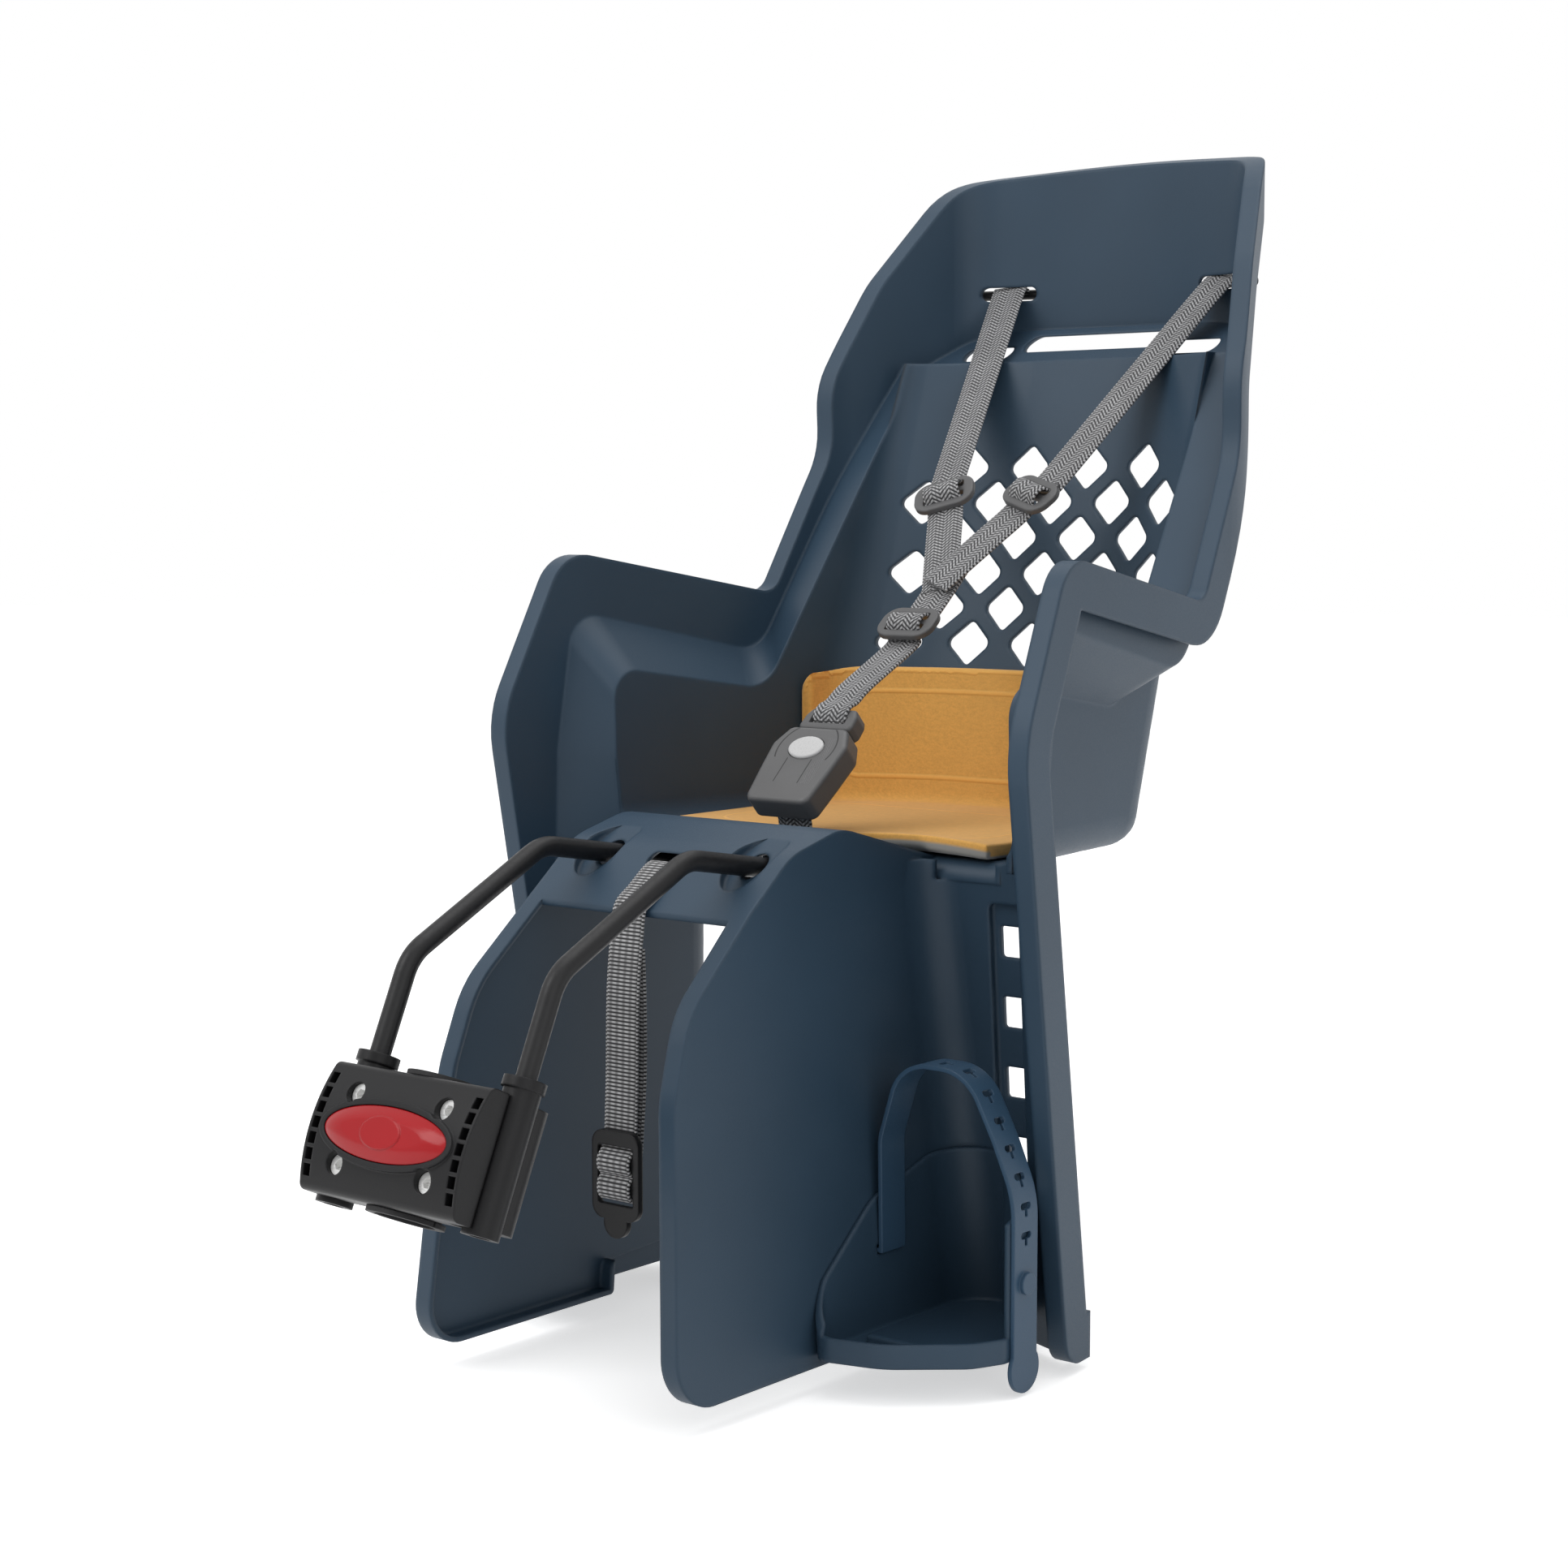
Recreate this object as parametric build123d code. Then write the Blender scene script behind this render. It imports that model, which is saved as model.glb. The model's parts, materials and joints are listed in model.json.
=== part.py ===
from build123d import *
import os
from math import cos, radians, sin, sqrt, tan

# Child bike seat. Millimetres, +Z up, the bike's front towards -Y, mirrored about x = 0.
# The origin is the middle of the clamp bore that grips the bike's seat tube.

# Shell: walls and the rim that runs round the whole opening
WALL = 3.2
RIM_HALF_WIDTH = 209.0
RIM_WIDTH_AT_Y = 270.0
TOE_IN = 6.6
FLANGE = 13.0
LIP = 28.0
STEP_IN = 48.0

# Shell: pan, back panel and headrest
PAN_Z = 128.0
PAN_CORNER = 18.0
NOTCH_HEIGHT = 40.0
PANEL_Y = 566.8
PANEL_AT_Z = 246.0
PANEL_RECLINE = 16.6
PANEL_FLAT = 60.0
SHELF_LOW_Z = 441.0
SHELF_HIGH_Z = 466.0
SHELF_SET_BACK = 44.0
HEADREST_BACK_Y = 692.0
HEADREST_SIDE = (159.5, 552.0)
HEADREST_CORNER = (111.0, 662.0)
SHELL_BOTTOM_Z = -162.0

# Shell: leg troughs and the guards beside the wheel
GUARD_X = 84.0
GUARD_AT_Z = 112.0
GUARD_DRAFT = 0.075
GUARD_FLANGE = 12.0
TROUGH_OUTER_X = 157.0
PAN_NOTCH_X = 150.0
RISER_END_X = 159.0
BESIDE_REACH = 34.0
TROUGH_BACK_Y = 334.0
TROUGH_BACK_AT_Z = 126.0
TROUGH_BACK_DRAFT = 0.08
TROUGH_CORNER = 24.0
KNEE_RADIUS = 12.0
KNEE_END_X = 136.0
CREASE_LOW = (361.7, -220.0)
CREASE_MID = (337.0, 88.0)
CREASE_HIGH = (326.0, 180.0)

# Shell: openings
DIAMOND_PITCH = 48.4
DIAMOND_ROW = 24.2
DIAMOND_WIDTH = 35.0
DIAMOND_HEIGHT = 33.0
DIAMOND_ROUND = 5.0
DIAMOND_TOP_Z = 366.7
DIAMOND_ROWS = 6
SLOT_LENGTH = 40.0
SLOT_HEIGHT = 10.0
UPPER_SLOT_X = 87.0
UPPER_SLOT_Z = 492.5
LOWER_SLOT_X = 84.0
LOWER_SLOT_Z = 448.0
HANDLE_LENGTH = 118.0
HANDLE_HEIGHT = 12.0
LADDER_X = 143.0
LADDER_WIDTH = 16.0
LADDER_HEIGHT = 19.0
LADDER_TOP_Z = 81.0
LADDER_PITCH = 43.0
LADDER_COUNT = 5
CHANNEL_WIDTH = 26.0
CHANNEL_DEPTH = 4.0
CHANNEL_MARGIN = 14.0
CROTCH_SLOT_Y = 314.0
DISH_Y = 203.0
DISH_Z = 139.1
DISH_LENGTH = 56.0
DISH_WIDTH = 31.0
DISH_DEPTH = 7.0

# Support bar: one rod, bent twice on each side and joined across under the pan
ROD_D = 12.0
ROD_SPACING = 112.0
ROD_BEND = 30.0
ROD_REAR_BEND = 24.0
ROD_FALL = 9.4
RAIL_Y = 205.0
RAIL_Z = 132.8
RAIL_FRONT = -58.5
RAIL_BACK = 134.0
BAR_KNEE_S = 99.0
SLIDE_FIT = 0.06

# Bar clamp under the pan
SADDLE_FRONT = 62.0
SADDLE_LENGTH = 44.0
SADDLE_GAP = 0.6
SADDLE_INNER_X = 24.0
SADDLE_OUTER_X = 72.0
PLATE_THICK = 10.0
PLATE_SCREW_D = 6.0
PLATE_SCREW_X = 36.0
PLATE_SCREW_SPACING = 24.0

# Tube clamp block
TUBE_D = 34.0
TUBE_TILT = 24.5
LINER = 2.5
LINER_LIP = 3.0
SPLIT_GAP = 1.5
SOCKET_WALL = 4.5
SOCKET_BOTTOM = -44.0
SOCKET_TOP = 41.5
JAW_HALF_WIDTH = 59.0
JAW_MID_Z = -5.0
JAW_HEIGHT = 72.0
JAW_FRONT = 32.0
JAW_EDGE_FRONT = 25.0
JAW_MIDDLE_HALF = 43.0
JAW_SIDE_BACK = 11.6
BODY_HALF_WIDTH = 62.0
BODY_BACK = 26.0
BODY_HEIGHT = 68.0
CLAMP_SCREW_X = 33.7
CLAMP_SCREW_SPACING = 39.0
CLAMP_SCREW_D = 6.0
CLAMP_SCREW_SEAT = 20.0
CLAMP_NUT_SEAT = 15.0
RIB_COUNT = 7

# Release button and bar locks
BUTTON_HALF_LENGTH = 46.0
BUTTON_HALF_HEIGHT = 15.0
BUTTON_CLEARANCE = 0.4
BUTTON_TRAVEL = 3.5
BUTTON_FLOOR = 24.0
BUTTON_THICK = 5.0
BUTTON_DOME = 3.5
LOCK_D = 6.0
LOCK_INNER_X = 28.0
LOCK_BITE = 3.0
LOCK_COLLAR_X = 37.0
LOCK_COLLAR = 3.0
LOCK_COLLAR_D = 10.0
LEG_HEIGHT = 8.8

# Footrests and foot straps
FOOTREST_GAP = 0.4
FOOTREST_WALL = 3.0
FOOTREST_FLOOR_Z = -146.0
FOOTREST_TOP_Z = -44.0
FOOT_STRAP_WIDTH = 23.0
FOOT_STRAP_THICK = 2.6
FOOT_STRAP_Y = 275.0
FOOT_STRAP_HOLES = 8
STRAP_SLOT_Z = -96.0
EAR_FRONT_Y = 262.0

# Soft pad
PAD_THICK = 10.0
PAD_GAP = 0.4
PAD_SEAT_HALF = 128.0
PAD_FRONT_Y = 336.0
PAD_BACK_Y = 487.0
PAD_TOP_Z = 229.0

# Harness
WEB_WIDTH = 26.0
WEB_THICK = 1.6
WEB_FIT = 0.3
MERGE_Y = 478.0
MERGE_Z = 297.0
ADJUSTER_X = 35.0
ADJUSTER_Y = 520.0
ADJUSTER_Z = 345.0
CHEST_Y = 434.0
CHEST_Z = 260.0
ADJUSTER_LENGTH = 27.0
ADJUSTER_WIDTH = 43.0
ADJUSTER_THICK = 4.0
RETAINER_D = 7.0

# Buckle
BUCKLE_Y = 327.0
BUCKLE_Z = 181.0
BUCKLE_TILT = 43.0
BUCKLE_THICK = 18.0
BUCKLE_WELL = 4.0
BUCKLE_BUTTON_Y = 5.0
BUCKLE_BUTTON_TRAVEL = 2.5
BLADE_HALF_WIDTH = 14.0
BLADE_HALF_THICK = 3.0
BLADE_GAP = 0.3

# Frame strap
FRAME_STRAP_WIDTH = 25.0
FRAME_STRAP_Y = 155.0
FRAME_STRAP_LOW_Z = -50.0
FRAME_SLOT_Y = 194.3
FRAME_SLOT_Z = 132.2

REACH = 760.0
TOP_REACH = 620.0
BOTTOM_REACH = -220.0

tube_angle = radians(TUBE_TILT)
toe = radians(TOE_IN)
rod_r = ROD_D / 2
rod_x = ROD_SPACING / 2
bore_r = TUBE_D / 2
seat_r = bore_r + LINER
fork = LOCK_D / 2 + 0.3
collar_edge = sqrt((LOCK_COLLAR_D / 2) ** 2 - fork ** 2)
leg_shelf = LOCK_COLLAR_D / 2 + BUTTON_TRAVEL + 0.1
leg_tip = collar_edge - 0.4
LEG_X0 = LOCK_COLLAR_X + LOCK_COLLAR + 0.1 + collar_edge - leg_shelf
LEG_X1 = LOCK_COLLAR_X + LOCK_COLLAR + 4.0
block = Plane(origin=(0, 0, 0), x_dir=(1, 0, 0), z_dir=(0, sin(tube_angle), cos(tube_angle)))
fall = radians(ROD_FALL)
rail = Plane(origin=(0, RAIL_Y, RAIL_Z), x_dir=(1, 0, 0), z_dir=(0, sin(fall), cos(fall)))


# Helpers

def outline(front, radii, back=()):
    """A face: a rounded run of points, closed through the plain points in back."""
    run = FilletPolyline(*front, radius=radii)
    close = Polyline(front[-1], *back, front[0])
    return make_face(run.edges() + close.edges())


def across(face, x0, x1):
    """Extrude a side view, drawn in Y and Z, from x0 to x1."""
    return extrude(Plane.YZ.offset(x0) * face, x1 - x0, dir=(1, 0, 0))


def span(x0, x1, y0, y1, z0, z1):
    """A box between two corners."""
    return Pos((x0 + x1) / 2, (y0 + y1) / 2, (z0 + z1) / 2) * Box(x1 - x0, y1 - y0, z1 - z0)


def both(part):
    return [part, mirror(part, about=Plane.YZ)]


def pin(start, end, radius):
    """A round pin from one point to another."""
    axis = Vector(*end) - Vector(*start)
    return extrude(Plane(origin=start, z_dir=axis) * Circle(radius), axis.length)


def ribbon(points, width_dirs, width, thick):
    """Flat webbing through points; each width direction lies across the webbing there."""
    sections = []
    for i, point in enumerate(points):
        before = Vector(*points[max(i - 1, 0)])
        after = Vector(*points[min(i + 1, len(points) - 1)])
        flat = Plane(origin=point, x_dir=width_dirs[i], z_dir=after - before)
        sections.append(flat * Rectangle(width, thick))
    return loft(sections, ruled=True)


def coil(radius, wire, height, turns):
    """A compression spring along +Z with its foot at z = 0, wire fully inside its height."""
    path = Helix(pitch=(height - 2 * wire) / turns, height=height - 2 * wire, radius=radius)
    path = Pos(0, 0, wire) * path
    return sweep(Plane(origin=path @ 0, z_dir=path % 0) * Circle(wire * 0.95), path=path)


# Shell surfaces

def rim_x(y, inset=0.0):
    """Half width at y, measured inset inside the rim's outer face."""
    return RIM_HALF_WIDTH - inset / cos(toe) - tan(toe) * (y - RIM_WIDTH_AT_Y)


def panel_y(z):
    return PANEL_Y + tan(radians(PANEL_RECLINE)) * (z - PANEL_AT_Z)


def guard_x(z):
    """The face of the leg guard on the leg's side."""
    return GUARD_X + GUARD_DRAFT * (GUARD_AT_Z - z)


def trough_y(z):
    """The front face of the trough's back wall."""
    return TROUGH_BACK_Y + TROUGH_BACK_DRAFT * (TROUGH_BACK_AT_Z - z)


def rim_outline():
    """Side view of the rim: leg edge, armrest, dip, waist, headrest and rising top edge."""
    front = [(500, SHELL_BOTTOM_Z), (317, SHELL_BOTTOM_Z), (256.5, 205), (309, 311.5), (497, 280),
             (553, 378), (551, 424), (590, 497), (648, 569), (REACH, 597)]
    return outline(front, [18, 70, 30, 16, 60, 60, 90, 70], [(REACH, SHELL_BOTTOM_Z)])


def guard_outline():
    """Side view of a leg guard, up and over the apron that joins the two guards."""
    front = [(380, PAN_Z), (345, PAN_Z), (252, 153), (205, 141), (168, 111), (112, 62), (96, 15),
             (83, -153), (246, -153), (246, -134), (330, -129), (330, -161), (380, -161)]
    return outline(front, [40, 40, 40, 50, 60, 60, 28, 3, 3, 3, 3])


def headrest_prism(grow):
    """The space inside the rim, seen from above: toed-in sides and a rounded back."""
    front_x = rim_x(60, FLANGE)
    back = HEADREST_BACK_Y
    right = [(front_x, 60), HEADREST_SIDE, HEADREST_CORNER]
    left = [(-x, y) for x, y in reversed(right)]
    face = outline(right + [(0, back)] + left, [110, 40, 200, 40, 110])
    if grow:
        face = offset(face, amount=grow, kind=Kind.INTERSECTION)
    return extrude(Plane.XY.offset(BOTTOM_REACH - 30) * face, TOP_REACH - BOTTOM_REACH + 30, dir=(0, 0, 1))


def bucket(grow):
    """The space above the pan and in front of the panel, grown by the wall for its outside."""
    sections = []
    for z, set_in, corner in ((PAN_Z - grow, 38.0, 50.0), (520.0, 24.0, 14.0)):
        back = panel_y(z) + grow
        corner_y = back - set_in
        corner_x = rim_x(corner_y, STEP_IN) + grow
        front_x = rim_x(0, STEP_IN) + grow
        right = [(front_x, 0), (corner_x, corner_y), (PANEL_FLAT, back)]
        left = [(-x, y) for x, y in reversed(right)]
        round_in = corner + grow
        face = outline(right + left, [round_in, 120, 120, round_in])
        sections.append(Plane.XY.offset(z) * face)
    space = loft(sections, ruled=True)
    floor = space.faces().sort_by(Axis.Z)[0]
    rim = [edge for edge in floor.edges() if edge.center().Y > 10]
    return fillet(rim, PAN_CORNER + grow)


def wing_plane(depth):
    """The right wing's plane, moved out by depth from the rim's outer face."""
    origin = (RIM_HALF_WIDTH + depth * cos(toe), RIM_WIDTH_AT_Y + depth * sin(toe), 0)
    return Plane(origin=origin, x_dir=(-sin(toe), cos(toe), 0), z_dir=(cos(toe), sin(toe), 0))


def wing_face(points, radii):
    """The space in front of and above a crease line of the wing."""
    run = [(y - RIM_WIDTH_AT_Y, z) for y, z in points]
    back_y = REACH - RIM_WIDTH_AT_Y
    front_y = -RIM_WIDTH_AT_Y
    close = [(back_y, TOP_REACH), (front_y, TOP_REACH), (front_y, BOTTOM_REACH)]
    return outline(run, radii, close)


def wing_inner():
    """The wing's crease beside the bucket, and the space in front of it."""
    return wing_face([CREASE_LOW, CREASE_MID, CREASE_HIGH, (324, 236), (462, 216),
                      (612, SHELF_LOW_Z), (670, SHELF_HIGH_Z), (REACH, SHELF_HIGH_Z)],
                     [40, 60, 18, 30, 14, 4])


def wing_space(grow):
    """The space of the right wing, stepped out from the bucket wall to the rim."""
    outer = wing_face([(348, BOTTOM_REACH), (299, 88), (303, 180), (318, 274), (488, 242),
                       (632, SHELF_HIGH_Z), (690, SHELF_HIGH_Z + 0.5), (REACH, SHELF_HIGH_Z + 1)],
                      [40, 60, 22, 30, 30, 4])
    inner = wing_inner()
    if grow:
        outer = offset(outer, amount=grow, kind=Kind.INTERSECTION)
        inner = offset(inner, amount=grow, kind=Kind.INTERSECTION)
    skew = 0.4 * grow
    near = wing_plane(skew - STEP_IN) * inner
    far = wing_plane(skew - FLANGE) * outer
    out = wing_plane(0).z_dir
    cap = extrude(near, 0.5 + grow + skew, dir=-out)
    return loft([near, far], ruled=True) + cap + extrude(far, 8 + grow, dir=out)


def shelf_space(grow):
    """The space above the shelf between panel and headrest."""
    low_y = panel_y(SHELF_LOW_Z)
    face = outline([(0, SHELF_LOW_Z), (low_y, SHELF_LOW_Z), (low_y + SHELF_SET_BACK, SHELF_HIGH_Z),
                    (REACH, SHELF_HIGH_Z)], [8, 4], [(REACH, TOP_REACH), (0, TOP_REACH)])
    if grow:
        face = offset(face, amount=grow, kind=Kind.INTERSECTION)
    return across(face, -160, 160)


def trough_space(grow, guard_grow, bottom, top, outer_x=TROUGH_OUTER_X):
    """The space of the right leg trough."""
    sections = []
    for z in (bottom, top):
        inner_x = guard_x(z) - guard_grow
        back_y = trough_y(z) + grow
        face = outline([(inner_x, 0), (inner_x, back_y), (outer_x, back_y), (outer_x, 0)],
                       [TROUGH_CORNER + grow, 4 + grow])
        sections.append(Plane.XY.offset(z) * face)
    return loft(sections, ruled=True)


def shell_body():
    """Bucket, wings, headrest and rim, before the legs."""
    inside = bucket(0) + shelf_space(0)
    outside = bucket(WALL) + shelf_space(WALL)
    for near, far in zip(both(wing_space(0)), both(wing_space(WALL))):
        inside += near
        outside += far
    inside = inside & headrest_prism(0)
    outside = outside & headrest_prism(WALL)
    side = rim_outline()
    kept = across(side, -300, 300)
    skin = (outside - inside) & kept
    below_back = span(-300, 300, 346, REACH, BOTTOM_REACH, 240)
    rim = headrest_prism(FLANGE) - below_back
    strip = across(side - offset(side, amount=-WALL), -300, 300)
    lip_band = across(side - offset(side, amount=-LIP), -300, 300)
    flange = (rim - headrest_prism(0)) & strip
    lip = (rim - headrest_prism(FLANGE - WALL)) & lip_band
    return skin + flange + lip, inside


def knee(x0, x1):
    """The rounded edge where the pan rolls down into a trough, and the corner it replaces."""
    top_y = TROUGH_BACK_Y + KNEE_RADIUS
    centre_z = PAN_Z - KNEE_RADIUS
    corner = span(x0, x1, TROUGH_BACK_Y - 3, top_y, centre_z, PAN_Z + 0.5)
    square = Pos(-KNEE_RADIUS / 2, KNEE_RADIUS / 2) * Rectangle(KNEE_RADIUS, KNEE_RADIUS)
    ring = (Circle(KNEE_RADIUS) - Circle(KNEE_RADIUS - WALL)) & square
    roll = across(Pos(top_y, centre_z) * ring, x0, x1)
    cap = across(Pos(top_y, centre_z) * square, x1, x1 + WALL)
    return corner, roll + cap


def rod_dish(length, width, depth):
    """An oval sunk into the apron round a rod, from its surface down by depth."""
    place = Plane(origin=(rod_x + 1, DISH_Y, DISH_Z), x_dir=(1, 0, 0), z_dir=(0, -0.55, 0.835))
    oval = extrude(place * Ellipse(width / 2, length / 2), -depth)
    return oval + extrude(place * Ellipse(width / 2, length / 2), 20)


def shell():
    """The whole moulding: one half, then its mirror image."""
    body, inside = shell_body()
    half = span(0, 300, -100, REACH, BOTTOM_REACH, TOP_REACH)
    body = body & half
    guard = guard_outline()
    guard_skin = guard - offset(guard, amount=-WALL)
    below_pan = PAN_Z - WALL - 0.6
    open_trough = trough_space(0, 0, BOTTOM_REACH, below_pan)
    open_trough = open_trough + trough_space(0, 0, below_pan - 5, PAN_Z + NOTCH_HEIGHT, PAN_NOTCH_X)
    beside = extrude(wing_plane(1 - STEP_IN) * wing_inner(), BESIDE_REACH, dir=-wing_plane(0).z_dir)
    beside = beside & span(0, 300, 0, REACH, BOTTOM_REACH, PAN_Z + NOTCH_HEIGHT + 8)
    leg_wall = trough_space(WALL, WALL, BOTTOM_REACH + 10, PAN_Z + NOTCH_HEIGHT, TROUGH_OUTER_X + 20)
    within = span(0, TROUGH_OUTER_X, 0, REACH, BOTTOM_REACH, TOP_REACH)
    leg_room = trough_space(0, 0, BOTTOM_REACH, PAN_Z + NOTCH_HEIGHT + 1)
    leg = (leg_wall & within & across(guard, 0, 300)) - leg_room - inside
    guard_zone = span(0, GUARD_X + 60, 0, 246, BOTTOM_REACH, PAN_Z - 6)
    guard_rim = trough_space(WALL, GUARD_FLANGE, BOTTOM_REACH + 10, PAN_Z + NOTCH_HEIGHT) & guard_zone
    guard_rim = (guard_rim & across(guard_skin, 0, 300)) - open_trough
    apron_zone = span(-300, 300, 164, 349, 104, 170)
    apron = across(guard_skin, -GUARD_X, GUARD_X) & apron_zone
    skirt = across(guard, GUARD_X - WALL, GUARD_X) & apron_zone
    corner, roll = knee(GUARD_X - 0.5, KNEE_END_X)
    riser = trough_space(WALL + 0.6, WALL, BOTTOM_REACH + 10, PAN_Z + NOTCH_HEIGHT, TROUGH_OUTER_X + 20)
    riser = riser & span(KNEE_END_X, RISER_END_X, 325, 345, PAN_Z - 10, PAN_Z + NOTCH_HEIGHT)
    riser = riser - open_trough - inside
    side = leg + guard_rim + skirt
    side = side - corner + roll + riser
    body = body - span(-GUARD_X + WALL, GUARD_X - WALL, 0, 344, PAN_Z - 20, PAN_Z + 20)
    body = body - open_trough - corner - beside
    body = body + side
    body = body + (apron & half) + (saddles() & half)
    body = body + channel(WALL, CHANNEL_DEPTH + WALL)
    body = body - channel(0, CHANNEL_DEPTH) - channel(0, -3)
    boss = rod_dish(DISH_LENGTH + 2 * WALL, DISH_WIDTH + 2 * WALL, DISH_DEPTH + WALL)
    body = body + (boss & across(guard, 0, GUARD_X))
    body = body - rod_dish(DISH_LENGTH, DISH_WIDTH, DISH_DEPTH)
    for cutter in shell_cutters():
        body = body - cutter
    return body + mirror(body, about=Plane.YZ)


def saddles():
    """Blocks under the apron that ride on the bar, with half-round grooves."""
    guard_in = across(guard_outline(), -GUARD_X, GUARD_X)
    back = SADDLE_FRONT + SADDLE_LENGTH
    blocks = None
    for x0, x1 in ((SADDLE_INNER_X, SADDLE_OUTER_X), (-SADDLE_OUTER_X, -SADDLE_INNER_X)):
        one = rail * span(x0, x1, SADDLE_FRONT, back, SADDLE_GAP, 60)
        blocks = one if blocks is None else blocks + one
    return blocks & guard_in


def rod_cutters(radius, y0, y1):
    """Round cutters along both straight rods under the pan."""
    cut = []
    for x in (-rod_x, rod_x):
        cut.append(rail * Pos(x, y0, 0) * Rot(-90, 0, 0) * Cylinder(
            radius, y1 - y0, align=(Align.CENTER, Align.CENTER, Align.MIN)))
    return cut


def diamond():
    half_w = DIAMOND_WIDTH / 2
    half_h = DIAMOND_HEIGHT / 2
    points = [(0, half_h), (-half_w, 0), (0, -half_h), (half_w, 0)]
    return make_face(FilletPolyline(*points, radius=DIAMOND_ROUND, close=True).edges())


def facing(x, z, face, y0, y1):
    """Extrude a front view along Y from y0 to y1, at x and z."""
    plane = Plane(origin=(x, y1, z), x_dir=(1, 0, 0), z_dir=(0, -1, 0))
    return extrude(plane * face, y1 - y0, dir=(0, -1, 0))


def channel(grow, back):
    """The sunk channel of the footrest ladder, grown by the wall for its tray."""
    length = (LADDER_COUNT - 1) * LADDER_PITCH + LADDER_HEIGHT + 2 * CHANNEL_MARGIN
    middle_z = LADDER_TOP_Z - (LADDER_COUNT - 1) * LADDER_PITCH / 2
    wall = Plane(origin=(LADDER_X, trough_y(middle_z), middle_z), x_dir=(1, 0, 0),
                 z_dir=(0, -1, -TROUGH_BACK_DRAFT))
    face = RectangleRounded(CHANNEL_WIDTH + 2 * grow, length + 2 * grow, 4 + grow)
    return extrude(wall * face, -back)


def shell_cutters():
    """Every hole and slot of the half from the middle to the right rim."""
    cuts = []
    for row in range(DIAMOND_ROWS):
        count = 4 + row % 2
        z = DIAMOND_TOP_Z - row * DIAMOND_ROW
        for i in range(count):
            x = (i - (count - 1) / 2) * DIAMOND_PITCH
            if x > -1:
                cuts.append(facing(x, z, diamond(), panel_y(z) - 90, panel_y(z) + 60))
    slot = SlotOverall(SLOT_LENGTH, SLOT_HEIGHT)
    cuts.append(facing(UPPER_SLOT_X, UPPER_SLOT_Z, slot, 600, REACH))
    cuts.append(facing(LOWER_SLOT_X, LOWER_SLOT_Z, slot, 590, REACH))
    for i in range(LADDER_COUNT):
        z = LADDER_TOP_Z - i * LADDER_PITCH
        square = RectangleRounded(LADDER_WIDTH, LADDER_HEIGHT, 2)
        cuts.append(facing(LADDER_X, z, square, trough_y(z) - 5, trough_y(z) + 20))
    for y in plate_screw_rows():
        cuts.append(rail * Pos(PLATE_SCREW_X, y, 8) * Cylinder(PLATE_SCREW_D / 2 + SLIDE_FIT, 20))
    handle_z = (SHELF_LOW_Z + SHELF_HIGH_Z) / 2 + 1
    cuts.append(facing(0, handle_z, SlotOverall(HANDLE_LENGTH, HANDLE_HEIGHT), 610, REACH))
    cuts += rod_cutters(rod_r + SLIDE_FIT, SADDLE_FRONT - 10, SADDLE_FRONT + SADDLE_LENGTH + 10)
    cuts += rod_cutters(rod_r + 2.0, -40, SADDLE_FRONT - 5)
    strap_slot = SlotOverall(FRAME_STRAP_WIDTH + 7, 9)
    cuts.append(facing(0, FRAME_SLOT_Z, strap_slot, 170, 215))
    cuts.append(Pos(0, CROTCH_SLOT_Y, 135) * extrude(SlotOverall(WEB_WIDTH + 7, 9), 20, both=True))
    return cuts


def plate_screw_rows():
    middle = SADDLE_FRONT + SADDLE_LENGTH / 2
    return (middle - PLATE_SCREW_SPACING / 2, middle + PLATE_SCREW_SPACING / 2)


# Support bar and its clamp

def support_bar():
    """One bent rod: up out of a socket, over two bends, under the pan and back again."""
    foot = block.from_local_coords((rod_x, 0, SOCKET_BOTTOM + 4))
    knee_point = block.from_local_coords((rod_x, 0, BAR_KNEE_S))
    shoulder = rail.from_local_coords((rod_x, RAIL_FRONT, 0))
    rear = rail.from_local_coords((rod_x, RAIL_BACK, 0))
    right = [foot, knee_point, shoulder, rear]
    left = [Vector(-p.X, p.Y, p.Z) for p in reversed(right)]
    bends = [ROD_BEND, ROD_BEND, ROD_REAR_BEND, ROD_REAR_BEND, ROD_BEND, ROD_BEND]
    path = FilletPolyline(*right, *left, radius=bends)
    bar = sweep(Plane(origin=path @ 0, z_dir=path % 0) * Circle(rod_r), path=path)
    for side in (-1, 1):
        tip = rod_x - rod_r + LOCK_BITE + 1
        bar = bar - lock_cylinder(side, rod_x - rod_r - 2, tip, LOCK_D / 2 + 0.3)
    return bar


def bar_clamp_plate():
    """The plate that presses the bar up into the saddles."""
    back = SADDLE_FRONT + SADDLE_LENGTH
    plate = rail * span(-SADDLE_OUTER_X, SADDLE_OUTER_X, SADDLE_FRONT, back,
                        -SADDLE_GAP - PLATE_THICK, -SADDLE_GAP)
    for cutter in rod_cutters(rod_r + SLIDE_FIT, SADDLE_FRONT - 10, back + 10):
        plate = plate - cutter
    for x in (-PLATE_SCREW_X, PLATE_SCREW_X):
        for y in plate_screw_rows():
            plate = plate - rail * Pos(x, y, 0) * Cylinder(PLATE_SCREW_D / 2 + SLIDE_FIT, 60)
    return plate


def plate_screws():
    """Four screws up through the plate into the saddles."""
    screws = []
    low = -SADDLE_GAP - PLATE_THICK
    for x in (-PLATE_SCREW_X, PLATE_SCREW_X):
        for y in plate_screw_rows():
            shank = pin((x, y, low - 1), (x, y, low + 26), PLATE_SCREW_D / 2)
            head = pin((x, y, low - 4), (x, y, low), PLATE_SCREW_D * 0.9)
            socket = Pos(x, y, low - 4) * extrude(RegularPolygon(2.5, 6), 2.2)
            screws.append(rail * (shank + head - socket))
    return Compound(children=screws)


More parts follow.
